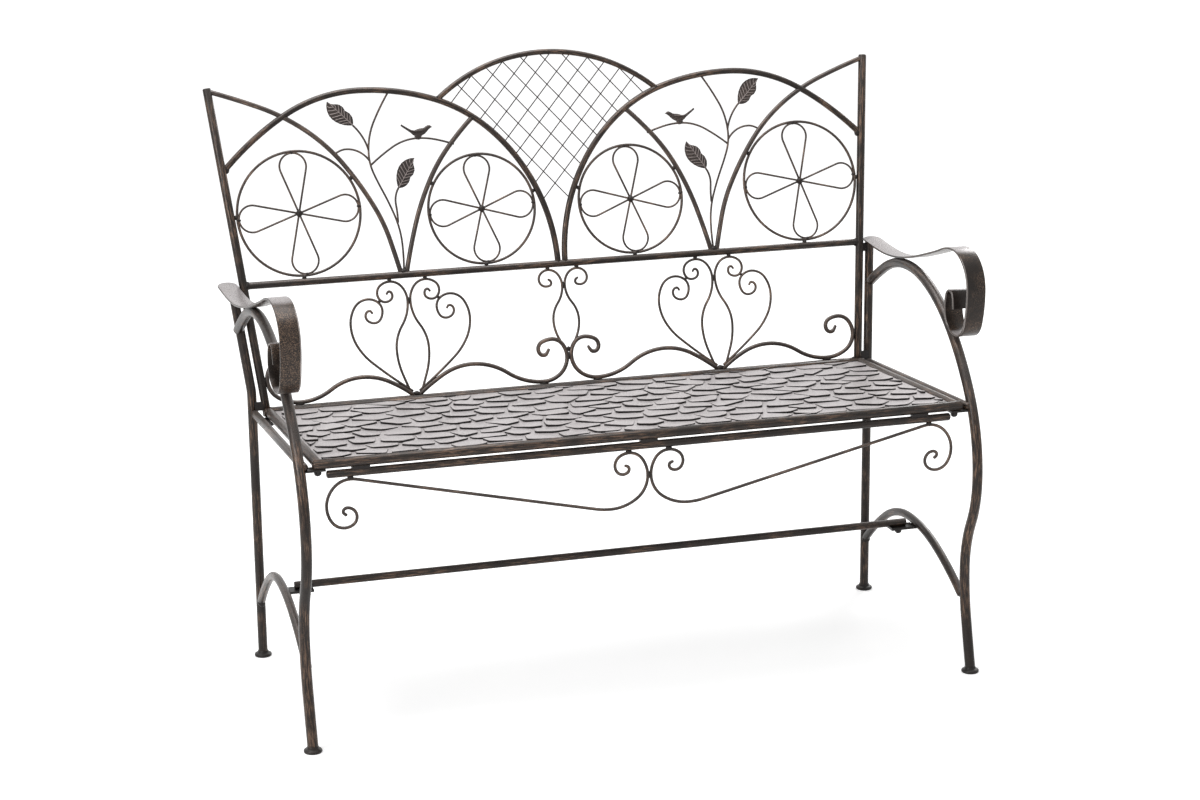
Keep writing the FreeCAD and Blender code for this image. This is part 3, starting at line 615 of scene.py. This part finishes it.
inner_wave = route((heart_place - wave_start_gap, rail_top, 141), (*inner_wave_hump, 180),
                   (inner_wave_touch, wave_touch, 180), *wave_curl(wave_rod / 2 + touch_gap, 1))
outer_wave_bulge = upright_place(bulge_height) - (upright_tube + wave_rod) / 2 + weld_bite
outer_wave = route((heart_place + wave_start_gap, rail_top, 39), (*outer_wave_hump, 0),
                   (outer_wave_touch, wave_touch, 0), *wave_curl(outer_wave_bulge, -1))
for name, points in (("inner_wave", inner_wave), ("outer_wave", outer_wave)):
    pair(back_bar(points, wave_rod, scale=tapered(points)), name, rod_paint)
for place in (inner_wave_touch, outer_wave_touch):
    weld(panel(complex(place, rail_top + wave_weld_lift)), scroll_bead, (1, 0, 0), 1.9)
for place in (0, outer_wave_bulge + wave_rod / 2):
    weld(panel(complex(place, bulge_height)), touch_bead, (0, 0.2, 1), 1.6)


def scroll(base, half_width, *knots):
    """A scroll from knots in shares of its half width and of its height up to the middle rail."""
    return route(*sized(knots, complex(0, base), half_width, curl_top - base))


def mirrored(points, middle=0.0):
    """A scroll and its mirror on either side of a middle line, thinning at their ends."""
    piece = Piece()
    for hand in (1, -1):
        half = [complex(middle + hand * p.real, p.imag) for p in points]
        piece.rod(in_panel(half), scroll_rod, panel_through, scale=tapered(half, 0.85))
    return piece


neck = (scroll_rod / 2 + touch_gap) / heart_half_width
heart_neck, heart_cheek, heart_crown = 0.823, 0.83, 0.3
heart_inner = scroll(
    rail_top, heart_half_width,
    (0.06, -0.015, 68), (0.27, 0.4, 90), (neck, heart_neck, 90), (heart_crown, 1, 0), (0.52, 0.903, -90),
    (0.39, 0.825, 180), (0.27, 0.876, 90), (0.32, 0.914, 0), (0.365, 0.892, -60),
)
heart_outer = scroll(
    rail_top, heart_half_width,
    (0.06, 0.035, 36), (0.69, 0.306, 42), (1, 0.64, 90), (0.685, 0.86, 180), (0.455, 0.753, -90),
    (0.6, 0.65, 0), (0.741, 0.715, 90), (0.67, 0.758, 180), (0.624, 0.734, 240),
)
for name, points in (("heart_inner_scrolls", heart_inner), ("heart_outer_scrolls", heart_outer)):
    pair(mirrored(points, heart_place), name, rod_paint)
heart_height = curl_top - rail_top
for hand in (1, -1):
    crown = complex(heart_place + hand * heart_crown * heart_half_width, curl_top + curl_weld_lift)
    cheek = complex(heart_place + hand * 0.5 * heart_half_width, rail_top + heart_cheek * heart_height)
    weld(panel(crown), curl_bead, (0, 0, 1), 1.2)
    weld(panel(cheek), cheek_bead)
weld(panel(complex(heart_place, rail_top + heart_neck * heart_height)), neck_bead, (0, 0, 1), 1.8)
weld(panel(complex(heart_place, rail_top + heart_weld_lift)), heart_bead, (1, 0, 0), 1.6)
weld(panel(complex(fork_place, mid_rail_height + mid_rail_tube / 2)), arch_bead, (1, 0, 0), 1.5)

motif_neck = (scroll_rod / 2 + touch_gap) / centre_motif_half_width
motif_waist, motif_crown = 0.8, 0.6
motif = scroll(
    centre_motif_base, centre_motif_half_width,
    (motif_neck, -0.05, 62), (0.53, 0.36, 90), (motif_neck, motif_waist, 90), (motif_crown, 1, 0),
    (1, 0.885, -90), (0.71, 0.795, 180), (0.5, 0.835, 90), (0.62, 0.88, 10),
)
mirrored(motif).make("centre_scrolls_piece", rod_paint, "centre_scrolls")
motif_top = complex(motif_crown * centre_motif_half_width, curl_top + curl_weld_lift)
weld(panel(motif_top), curl_bead, (0, 0, 1), 1.2)
weld(panel(complex(0, centre_motif_base)), waist_bead, (0, 0, 1), 1.3)
motif_touch = centre_motif_base + motif_waist * (curl_top - centre_motif_base)
weld(panel(complex(0, motif_touch)), neck_bead, (0, 0, 1), 1.8)

# Sprays

def spray(u, v, heading):
    """A knot of a stem, from shares of the spray's width and of the arch's height."""
    return fork_place + u * spray_width, mid_rail_height + v * (arch_peak[1] - mid_rail_height), heading


upper_leaf = spray(0.635, 0.815, 46)
lower_leaf = spray(-0.025, 0.466, 123)
perch = spray(-0.41, 0.727, 180)
stems = (
    route(spray(0, 0, 95), spray(-0.015, 0.165, 88), spray(0.245, 0.462, 65), spray(0.415, 0.652, 90),
          spray(-0.02, 1, 125)),
    route(spray(0.41, 0.675, 78), upper_leaf),
    route(spray(0.025, 0.282, 92), lower_leaf),
    route(spray(0.405, 0.618, 60), spray(0.775, 0.69, 0), spray(0.985, 0.665, -32)),
    route(spray(0.39, 0.598, 140), perch, spray(-0.995, 0.685, 200)),
)
vine = Piece()
for points in stems:
    vine.rod(in_panel(points), stem_rod, panel_through)
pair(vine, "vine", rod_paint)


def leaf(blades, veins, place, height, heading, hand):
    """A pressed leaf: toothed edges, a raised rib and slanting veins, a little cupped."""
    edge = [0]
    lobes = ((0.44, -0.337, -65), (0.8, -0.169, -30), (1, 0, 40), (0.45, 0.584, 118), (0, 0, 191))
    rib_rise, cup, tooth_size, under_lift = 0.7, 0.8, 0.9, 0.7
    rib_width, vein_width, vein_run, vein_reach = 1.5, 1.1, 0.15, 0.88
    for u, v, start_heading in lobes:
        edge += arc(edge[-1], aim(start_heading), complex(u * leaf_length, v * leaf_width))[0]
    point = max(range(len(edge)), key=lambda i: edge[i].real)
    lower, upper = edge[:point + 1], edge[:point - 1:-1]

    def spot(share, across, lift, tooth=0.0):
        """A point of the leaf, from its shares along the rib and across it."""
        x = leaf_length * share
        low, high = [np.interp(x, [p.real for p in half], [p.imag for p in half]) for half in (lower, upper)]
        out = (high + tooth) * across if across > 0 else (low - tooth) * -across
        rise = rib_rise * math.exp(-out ** 2) - cup * across ** 2
        return panel(complex(place, height) + complex(x, out * hand) * aim(heading), rise + lift)

    rows, columns = 40, 15
    lifts = (leaf_thickness / 2, -leaf_thickness / 2 + under_lift)
    points = []
    for lift in lifts:
        for i in range(rows + 1):
            tooth = tooth_size * (i * 0.4 % 1) * math.sin(math.pi * min(i / rows * 1.02, 1))
            points += [spot(i / rows, 2 * j / (columns - 1) - 1, lift, tooth) for j in range(columns)]
        veins.rod([spot(share, 0, lift) for share in np.linspace(0.03, 0.96, 9)], rib_width, panel_through,
                  scale=np.linspace(1, 0.5, 9))
        for start in np.linspace(0.1, 0.76, 7):
            for way in (1, -1):
                branch = [spot(start + vein_run * t, vein_reach * way * t, lift) for t in (0, 0.5, 1)]
                veins.rod(branch, vein_width, panel_through)
    count = len(points) // 2
    faces = []
    for i in range(rows):
        for j in range(columns - 1):
            a = i * columns + j
            quad = (a, a + 1, a + columns + 1, a + columns)
            faces += [quad, tuple(count + k for k in quad[::-1])]
    rim = [i * columns for i in range(rows, -1, -1)] + list(range(1, columns))
    rim += [i * columns + columns - 1 for i in range(1, rows + 1)]
    rim += [rows * columns + j for j in range(columns - 2, 0, -1)]
    for a, b in zip(rim, rim[1:] + rim[:1]):
        faces.append((a, b, count + b, count + a))
    blades.add(points, [face[::hand] for face in faces])


for hand, prefix in both_sides:
    leaves, veins = Piece(), Piece()
    leaf(leaves, veins, *upper_leaf, hand)
    leaf(leaves, veins, *lower_leaf, hand)
    leaves.make(prefix + "leaves_piece", leaf_paint, prefix + "leaves", flip=hand < 0, crease=60)
    veins.make(prefix + "leaf_veins", vein_paint, flip=hand < 0)


def bird():
    """A small cast bird on its branch: body, head, beak, folded wing and raised tail."""
    foot = complex(perch[0], perch[1] + stem_rod / 2 - 0.025 * bird_length)
    spine = (
        (-0.487, 0.312, 0.006, 0.006), (-0.455, 0.318, 0.02, 0.016), (-0.42, 0.325, 0.048, 0.034),
        (-0.375, 0.32, 0.064, 0.046), (-0.32, 0.29, 0.07, 0.047), (-0.27, 0.245, 0.078, 0.048),
        (-0.2, 0.205, 0.1, 0.05), (-0.11, 0.175, 0.118, 0.05), (-0.02, 0.155, 0.118, 0.05),
        (0.06, 0.152, 0.1, 0.048), (0.13, 0.175, 0.07, 0.042), (0.2, 0.215, 0.046, 0.032),
        (0.3, 0.283, 0.038, 0.022), (0.42, 0.365, 0.033, 0.017), (0.5, 0.424, 0.03, 0.012),
    )
    path = [foot + complex(u, v) * bird_length for u, v, tall, deep in spine]
    sides = 14
    points = []
    for i, (u, v, tall, deep) in enumerate(spine):
        way = path[min(i + 1, len(path) - 1)] - path[max(i - 1, 0)]
        way = way / abs(way) * 1j
        for j in range(sides):
            angle = 2 * math.pi * j / sides
            point = path[i] + way * tall * bird_length * math.cos(angle)
            points.append(panel(point, deep * bird_length * math.sin(angle)))
    piece = Piece()
    piece.add(points, tube_faces(len(spine), sides) + end_faces(len(spine), sides))
    wing_line, wing_out = ((-0.2, 0.22), (-0.06, 0.205), (0.1, 0.2), (0.22, 0.245)), 2.2
    wing = [foot + complex(u, v) * bird_length for u, v in wing_line]
    wing_shape = circle(0.085 * bird_length, 8)
    for out in (wing_out, -wing_out):
        piece.bar(in_panel(wing, out), wing_shape, panel_through, scale=(0.5, 1, 0.8, 0.3))
    feet = [foot + complex(0, -0.01) * bird_length, foot + complex(-0.02, 0.1) * bird_length]
    piece.rod(in_panel(feet), 0.1 * bird_length, panel_through, scale=((1.9, 1), (2.6, 1)))
    return piece


pair(bird(), "bird", leaf_paint, crease=60)

# Side frames

post_rise = (strap_rear_height - seat_rear_z) / math.cos(lean)
post_top = panel(complex(upright_place(post_rise) + post_step, post_rise))
crest = complex(*strap_crest)
strap_start = rear_foot_y - post_top[1] - strap_tail
strap_seat = complex(*arm_arch) + aim(90 + arm_arch_slope) * (front_leg_tube + strap_thickness) / 2
strap_scroll = ((1, 0.42, -90), (0.28, 1, 180), (-0.42, 0.745, 90), (-0.12, 0.5, 0), (0.12, 0.7, -90))
strap_points = route(
    (strap_start, strap_rear_height, -strap_rear_slope),
    (strap_seat.real, strap_seat.imag, arm_arch_slope),
    (crest.real - strap_rise_run, crest.imag - strap_rise, strap_rise_slope),
    (crest.real, crest.imag, 0),
    *sized(strap_scroll, crest, strap_scroll_reach, -strap_scroll_drop),
)
half_strap, strap_ease = strap_width / 2, 0.1
nose_angles = [math.radians(10 * i) for i in range(1, 10)]
nose = [strap_points[0] + aim(-strap_rear_slope) * half_strap * (1 - math.cos(a)) for a in nose_angles]
after_nose = [p for p in strap_points if abs(p - strap_points[0]) > half_strap + 1]
strap_sizes = [(1, math.sin(a)) for a in nose_angles] + [(1, 1)] * len(after_nose)
strap = Piece().bar([side(p, strap_offset, strap_turn) for p in nose + after_nose],
                    rounded_bar(strap_thickness, strap_width - strap_ease, 0.9), swung_through(strap_turn),
                    scale=strap_sizes, cap=(0.0, 0.0))
pair(strap, "armrest", strap_paint, crease=30)
crest_at = max(range(len(strap_points)), key=lambda i: strap_points[i].imag)
# Rods along both edges of the strap from its crest on, carrying the painted edge highlight
rim_width = strap_thickness * 0.87
rims = Piece()
for edge in (1, -1):
    offset = strap_offset + edge * (half_strap - rim_width / 2)
    rim_path = [side(p, offset, strap_turn) for p in strap_points[crest_at:]]
    rims.rod(rim_path, rim_width, swung_through(strap_turn))
pair(rims, "armrest_rims", rim_highlight_paint, replaced=False)

knee = np.array((side_place, rear_foot_y, knee_height))
lower, upper = np.array((0, 0, 1.0)), unit(post_top - knee)
bend = math.acos(lower.dot(upper))
trim = knee_bend * math.tan(bend / 2)
bend_out = unit(upper - lower * upper.dot(lower))
bend_axis = knee - lower * trim + bend_out * knee_bend
rear_points = [np.array((side_place, rear_foot_y, foot_height))]
bend_steps = 6
for i in range(bend_steps + 1):
    angle = bend * i / bend_steps
    rear_points.append(bend_axis + (lower * math.sin(angle) - bend_out * math.cos(angle)) * knee_bend)
post_flat, post_sink = 1.5, 0.5
strap_up = np.array((0, -aim(strap_rear_slope).imag, aim(strap_rear_slope).real))
post_end = strap_rear_height - strap_tail * strap_up[1] / -strap_up[2] - strap_thickness / 2 - post_flat
rear_points.append(knee + upper * (post_end - knee_height) / upper[2])
rear_points.append(rear_points[-1] + strap_up * (post_flat + post_sink))
pair(Piece().rod(rear_points, rear_leg_tube, side_through, cap=(0.0, 0.0)), "rear_leg", bar_paint)

joint_y = panel(complex(0, (arm_arch_joint_height - seat_rear_z) / math.cos(lean)))[1]
leg_points = route(
    (foot_depth, foot_height, 90 + foot_splay), (*waist, 90), (*belly, 90), (*shoulder, 143),
    (*arm_arch, 180 + arm_arch_slope), (rear_foot_y - joint_y, arm_arch_joint_height, 212),
)
front_leg = Piece().rod([side(p, front_leg_offset, arm_arch_turn) for p in leg_points], front_leg_tube,
                        swung_through(arm_arch_turn), cap=(0.0, 0.0))
pair(front_leg, "front_leg", bar_paint)
brace_points = route((0, brace_rear_height, 43), (*brace_peak, 0),
                     (waist[0] + front_leg_tube / 2, brace_front_height, -33))
brace_sink = 2.0
brace_path = [side(p) for p in brace_points if p.real < waist[0] + brace_sink]
pair(Piece().rod(brace_path, brace_tube, side_through), "leg_brace", bar_paint)

feet = Piece()
foot_profile = ((11.5, 0.0), (13.2, 0.35), (14.0, 1.5), (14.0, 3.2), (13.2, 4.6), (11.2, 5.5), (9.4, 6.2),
                (8.9, 7.2), (8.8, 8.6), (8.2, 9.4))
for hand in (1, -1):
    for x, depth in ((side_place + front_leg_offset, foot_depth), (side_place, 0.0)):
        feet.turned(np.array((hand * x, rear_foot_y - depth, 0.0)), (0, 0, 1), foot_profile)
feet.make("feet_piece", glide_paint, "feet", slot="glides")

stretcher_y = rear_foot_y - stretcher_depth
ends = [np.array((hand * stretcher_length / 2, stretcher_y, brace_peak[1])) for hand in (-1, 1)]
Piece().rod(ends, stretcher_tube, (0, 1, 0), cap=(0.05, 0.1)).make("stretcher_piece", bar_paint, "stretcher")

# Seat and apron

half_seat = seat_width / 2
end_place = half_seat - seat_tube / 2
rail_ease, apron_ease = 1.5, 1.2


def across_seat(name, depth, z, half, width):
    path = [seat(-half, depth, z), seat(half, depth, z)]
    Piece().rod(path, width, (0, 1, 0), cap=(0.2, 0.4)).make(name + "_piece", rail_paint, name)


across_seat("seat_front_rail", seat_depth, 0, half_seat - rail_ease, seat_tube)
across_seat("seat_rear_rail", 0, 0, half_seat - rail_ease, seat_tube)
end_rail = [seat(end_place, d, 0) for d in (0, seat_depth)]
pair(Piece().rod(end_rail, seat_tube, (1, 0, 0)), "seat_end_rail", bar_paint)
bearer_height = seat(0, seat_depth, -bearer_drop)[2]
leg_at_bearer = min((side(p, 0, arm_arch_turn) for p in leg_points), key=lambda p: abs(p[2] - bearer_height))
bearer_end = (-seat_rear_depth - leg_at_bearer[1]) / math.cos(seat_rise)
bearer = [seat(side_place - bearer_inset, d, -bearer_drop) for d in (-seat_rear_depth, bearer_end)]
pair(Piece().rod(bearer, bearer_tube, (1, 0, 0)), "seat_bearer", bar_paint)
apron_axis = -(seat_tube + apron_tube) / 2 - apron_gap
across_seat("apron_rail", seat_depth, apron_axis, apron_length / 2 - apron_ease, apron_tube)

apron_top = apron_axis - apron_tube / 2 - weld_gap - apron_scroll_rod / 2
apron_neck = (apron_scroll_rod / 2 + touch_gap) / apron_half_length
outer_weld, inner_weld, apron_touch = 0.925, 0.064, 0.43
apron_slope = math.degrees(math.atan2(0.957 * apron_drop, 0.733 * apron_half_length))
apron_knots = (
    (0.942, 0.635, 45), (0.951, 0.57, 90), (0.9385, 0.505, 180), (0.91, 0.675, -90), (0.947, 0.86, 0),
    (1, 0.47, 90), (outer_weld, 0, 180), (0.906, 0.013, 180 + apron_slope),
    (0.173, 0.97, 180 + apron_slope), (0.124, 1, 180), (apron_neck, apron_touch, 90), (inner_weld, 0, 0),
    (0.109, 0.22, -90), (0.084, 0.385, 180), (0.064, 0.295, 90), (0.077, 0.23, 0),
)
apron_points = route(*sized(apron_knots, complex(0, apron_top), apron_half_length, -apron_drop))
apron_path = [seat(p.real, seat_depth, p.imag) for p in apron_points]
pair(Piece().rod(apron_path, apron_scroll_rod, seat_through, scale=tapered(apron_path, 0.85)), "apron_scroll",
     rod_paint)
for share in (outer_weld, inner_weld):
    place = seat(share * apron_half_length, seat_depth, apron_top + apron_weld_lift)
    weld(place, scroll_bead, (1, 0, 0), 1.2)
weld(seat(0, seat_depth, apron_top - apron_touch * apron_drop), apron_neck_bead, (0, 0, 1), 1.6)


def clip(polygon, normal, limit):
    """The part of a flat polygon that lies within a limit along a normal."""
    kept = []
    for a, b in zip(polygon, polygon[1:] + polygon[:1]):
        da, db = (limit - (p * normal.conjugate()).real for p in (a, b))
        if da >= 0:
            kept.append(a)
        if da * db < 0:
            kept.append(a + (b - a) * (da / (da - db)))
    return kept


def softened(polygon, cut=0.14):
    """A polygon with its corners cut back."""
    edges = zip(polygon, polygon[1:] + polygon[:1])
    return [p for a, b in edges for p in (a + (b - a) * cut, b + (a - b) * cut)]


def paving(width, depth):
    """Outlines of stones, longer across the seat than they are deep, laid as crazy paving."""
    choose = random.Random(11)
    cell_width, cell_depth, joint, stretch = 52.0, 41.0, 2.3, 0.8
    stagger, stray_across, stray_deep, neighbours, smallest = 0.42, 0.3, 0.34, 14, 9
    half = width * stretch / 2
    rows, columns = round(depth / cell_depth), round(width / cell_width)
    centres = []
    for j in range(-1, rows + 1):
        for i in range(-1, columns + 1):
            shift = stagger * (j % 2) + choose.uniform(-stray_across, stray_across)
            x = (i + 0.5 + shift) * width / columns - width / 2
            z = (j + 0.5 + choose.uniform(-stray_deep, stray_deep)) * depth / rows
            centres.append(complex(x * stretch, z))
    stones = []
    for a in centres:
        near = sorted((b for b in centres if b != a), key=lambda b: abs(b - a))[:neighbours]
        cell = [complex(-half, 0), complex(half, 0), complex(half, depth), complex(-half, depth)]
        for b in near:
            normal = (b - a) / abs(b - a)
            between = ((a + b) / 2 * normal.conjugate()).real
            cell = clip(cell, normal, between - joint * choose.uniform(0.6, 1.5))
            if len(cell) < 3:
                break
        if len(cell) > 2:
            cell = [complex(p.real / stretch, p.imag) for p in cell]
            middle = sum(cell) / len(cell)
            if max(abs(p - middle) for p in cell) > smallest:
                stones.append(cell)
    return stones


sheet_top = seat_tube / 2 - seat_sheet_sink
stone_rise, stone_tilt, stone_slope, tilt_spread = 2.0, 1.75, 0.4, 50
field_margin, sheet_drop, sheet_inset = 2.5, 3.8, seat_tube * 0.2
sheet_base = sheet_top - sheet_drop


def seat_sheet_piece():
    """The pressed sheet, with stones that stand up from it and are highest at their front edge."""
    piece = Piece()
    choose = random.Random(5)
    inner_half, low, high = end_place - sheet_inset, sheet_inset, seat_depth - sheet_inset
    corners = [(-inner_half, low), (inner_half, low), (inner_half, high), (-inner_half, high)]
    flat = [seat(x, d, z) for z in (sheet_base, sheet_base - seat_sheet) for x, d in corners]
    piece.add(flat, [(3, 2, 1, 0), (4, 5, 6, 7), (0, 1, 5, 4), (1, 2, 6, 5), (2, 3, 7, 6), (3, 0, 4, 7)])
    field_width = 2 * (end_place - seat_tube / 2 - field_margin)
    field_depth = seat_depth - seat_tube - 2 * field_margin
    start = seat_tube / 2 + field_margin
    for stone in paving(field_width, field_depth):
        outer = softened(stone)
        middle = sum(outer) / len(outer)
        reach = max(abs(p - middle) for p in outer)
        tilt_way = aim(90 + choose.uniform(-tilt_spread, tilt_spread)) * stone_tilt / reach
        rings = []
        for shrink, share in ((0.0, 0.0), (0.3 * stone_slope, 0.88), (stone_slope, 1.0)):
            ring = [p + (middle - p) / abs(middle - p) * shrink for p in outer]
            tall = [stone_rise + ((p - middle) * tilt_way.conjugate()).real for p in ring]
            rings.append([seat(p.real, start + p.imag, sheet_base + share * t) for p, t in zip(ring, tall)])
        faces = end_faces(len(rings), len(outer))[1:] + tube_faces(len(rings), len(outer))
        piece.add([p for ring in rings for p in ring], [face[::-1] for face in faces])
    return piece


seat_sheet_piece().make("seat_panel_piece", seat_paint, "seat_panel", slot="seat_sheet", crease=25)
cross_bar_thickness = 2.4
cross_bars = Piece()
for x in (-cross_bar_place, cross_bar_place):
    path = [seat(x, d, sheet_base - seat_sheet - cross_bar_thickness / 2) for d in (0, seat_depth)]
    section = rounded_bar(cross_bar_width, cross_bar_thickness, 0.8)
    cross_bars.bar(path, section, seat(0, 0, 1) - seat(0, 0, 0))
cross_bars.make("seat_cross_bars_piece", fitting_paint, "seat_cross_bars")

# Domed nuts of the bolts, and weld at the frame's joints

nut_profile = ((7.0, 0.0), (7.0, 1.0), (5.6, 1.4), (5.6, 5.0), (4.9, 6.6), (3.4, 8.0), (1.4, 8.8))
lug_nut_inset, tab_nut_inset, nut_sides = 8.0, 12.0, 12
fittings = Piece()
lug_under = -seat_tube / 2 - lug_thickness
for hand in (1, -1):
    for depth in (lug_setback, seat_depth - lug_setback):
        nut_place = seat(hand * (half_seat - lug_nut_inset), depth, lug_under)
        fittings.turned(nut_place, (0, 0, -1), nut_profile, nut_sides)
    tab_under = brace_peak[1] - stretcher_tube / 2 - tab_thickness
    nut_place = np.array((hand * (stretcher_length / 2 - tab_nut_inset), stretcher_y, tab_under))
    fittings.turned(nut_place, (0, 0, -1), nut_profile, nut_sides)
fittings.make("bolts", fitting_paint)

brace_end = side(complex(0, brace_rear_height)) + (0, -rear_leg_tube / 2, brace_weld_lift)
weld(brace_end, brace_bead, (0, 0, 1), 1.3)
strap_under = strap_seat - aim(90 + arm_arch_slope) * strap_thickness
weld(side(strap_under, strap_weld_offset, arm_arch_turn), strap_bead, (0, 1, 0), 2.2)
arch_end = complex(upright_place(arch_end_height) - upright_tube / 2, arch_end_height + arch_weld_lift)
weld(panel(arch_end), arch_bead, (0, 0, 1), 1.4)
centre_arch_end = complex(centre_arch_half_span - centre_weld_inset, centre_end + centre_weld_lift)
weld(panel(centre_arch_end), arch_bead)
weld(panel(complex(*inner_arch_top)), half_arch_bead)
welds.make("weld_beads", weld_paint)

# Floor, light and camera

def stage_material(name, colour, near_glow, far_glow):
    """White to the camera and in reflections, and still taking the bench's shadow."""
    s = Shader(bpy.data.materials.new(name))
    rays = s.node("ShaderNodeLightPath").outputs
    seen = s.node("ShaderNodeMath", {0: rays["Is Camera Ray"], 1: rays["Is Glossy Ray"]}, operation="MAXIMUM")
    place = s.node("ShaderNodeTexCoord").outputs["Object"]
    away = s.node("ShaderNodeVectorMath", {0: place}, operation="LENGTH").outputs["Value"]
    glow = s.span(away, 1.5, 7.0, near_glow, far_glow)
    s.feed(s.surface, {
        "Base Color": colour,
        "Roughness": 0.9,
        "Emission Color": (1, 1, 1),
        "Emission Strength": s.times(seen.outputs[0], glow),
    })
    return s.owner


floor_mesh = bpy.data.meshes.new("floor")
reach = 14.0
floor_mesh.from_pydata([(-reach, -reach, 0), (reach, -reach, 0), (reach, reach, 0), (-reach, reach, 0)], [],
                       [(0, 1, 2, 3)])
floor_mesh.materials.append(stage_material("floor_white", (0.9, 0.9, 0.9), near_glow=0.46, far_glow=0.64))
floor = placed("floor", floor_mesh)

world = Shader(bpy.data.worlds.new("studio"), "Background")
scene.world = world.owner
rays = world.node("ShaderNodeLightPath").outputs
shown = rays["Is Camera Ray"]
for kind in ("Is Glossy Ray", "Is Transmission Ray"):
    either = world.node("ShaderNodeMath", {0: shown, 1: rays[kind]}, operation="ADD", use_clamp=True)
    shown = either.outputs[0]
strength = world.node("ShaderNodeMapRange", {"Value": shown, "To Min": 0.45, "To Max": 1.0})
world.feed(world.surface, {"Color": (1, 1, 1), "Strength": strength.outputs["Result"]})


def lamp(name, place, target, size, power):
    light = bpy.data.lights.new(name, "AREA")
    light.shape = "DISK"
    light.size = size
    light.energy = power
    made = placed(name, light)
    made.location = place
    made.rotation_euler = (Vector(target) - Vector(place)).to_track_quat("-Z", "Y").to_euler()


lamp("overhead", (-0.4, 0.2, 3.4), (0, 0, 0.4), size=2.6, power=75)
lamp("left", (-3.0, -1.6, 2.0), (0, 0, 0.5), size=1.6, power=55)
lamp("right_back", (2.6, 2.4, 2.2), (0, 0, 0.5), size=1.6, power=35)

camera = bpy.data.cameras.new("camera")
camera.sensor_width = 36.0
camera.lens = camera_lens
camera.clip_end = 100
view = placed("camera", camera)
ahead = math.cos(camera_pitch)
forward = Vector((math.sin(camera_yaw) * ahead, math.cos(camera_yaw) * ahead, -math.sin(camera_pitch)))
level = Vector((math.cos(camera_yaw), -math.sin(camera_yaw), 0))
down = forward.cross(level)
right = level * math.cos(camera_roll) + down * math.sin(camera_roll)
below = down * math.cos(camera_roll) - level * math.sin(camera_roll)
view.matrix_world = Matrix.Translation(camera_place) @ Matrix((right, -below, -forward)).transposed().to_4x4()
scene.camera = view
scene.view_settings.view_transform = "Standard"
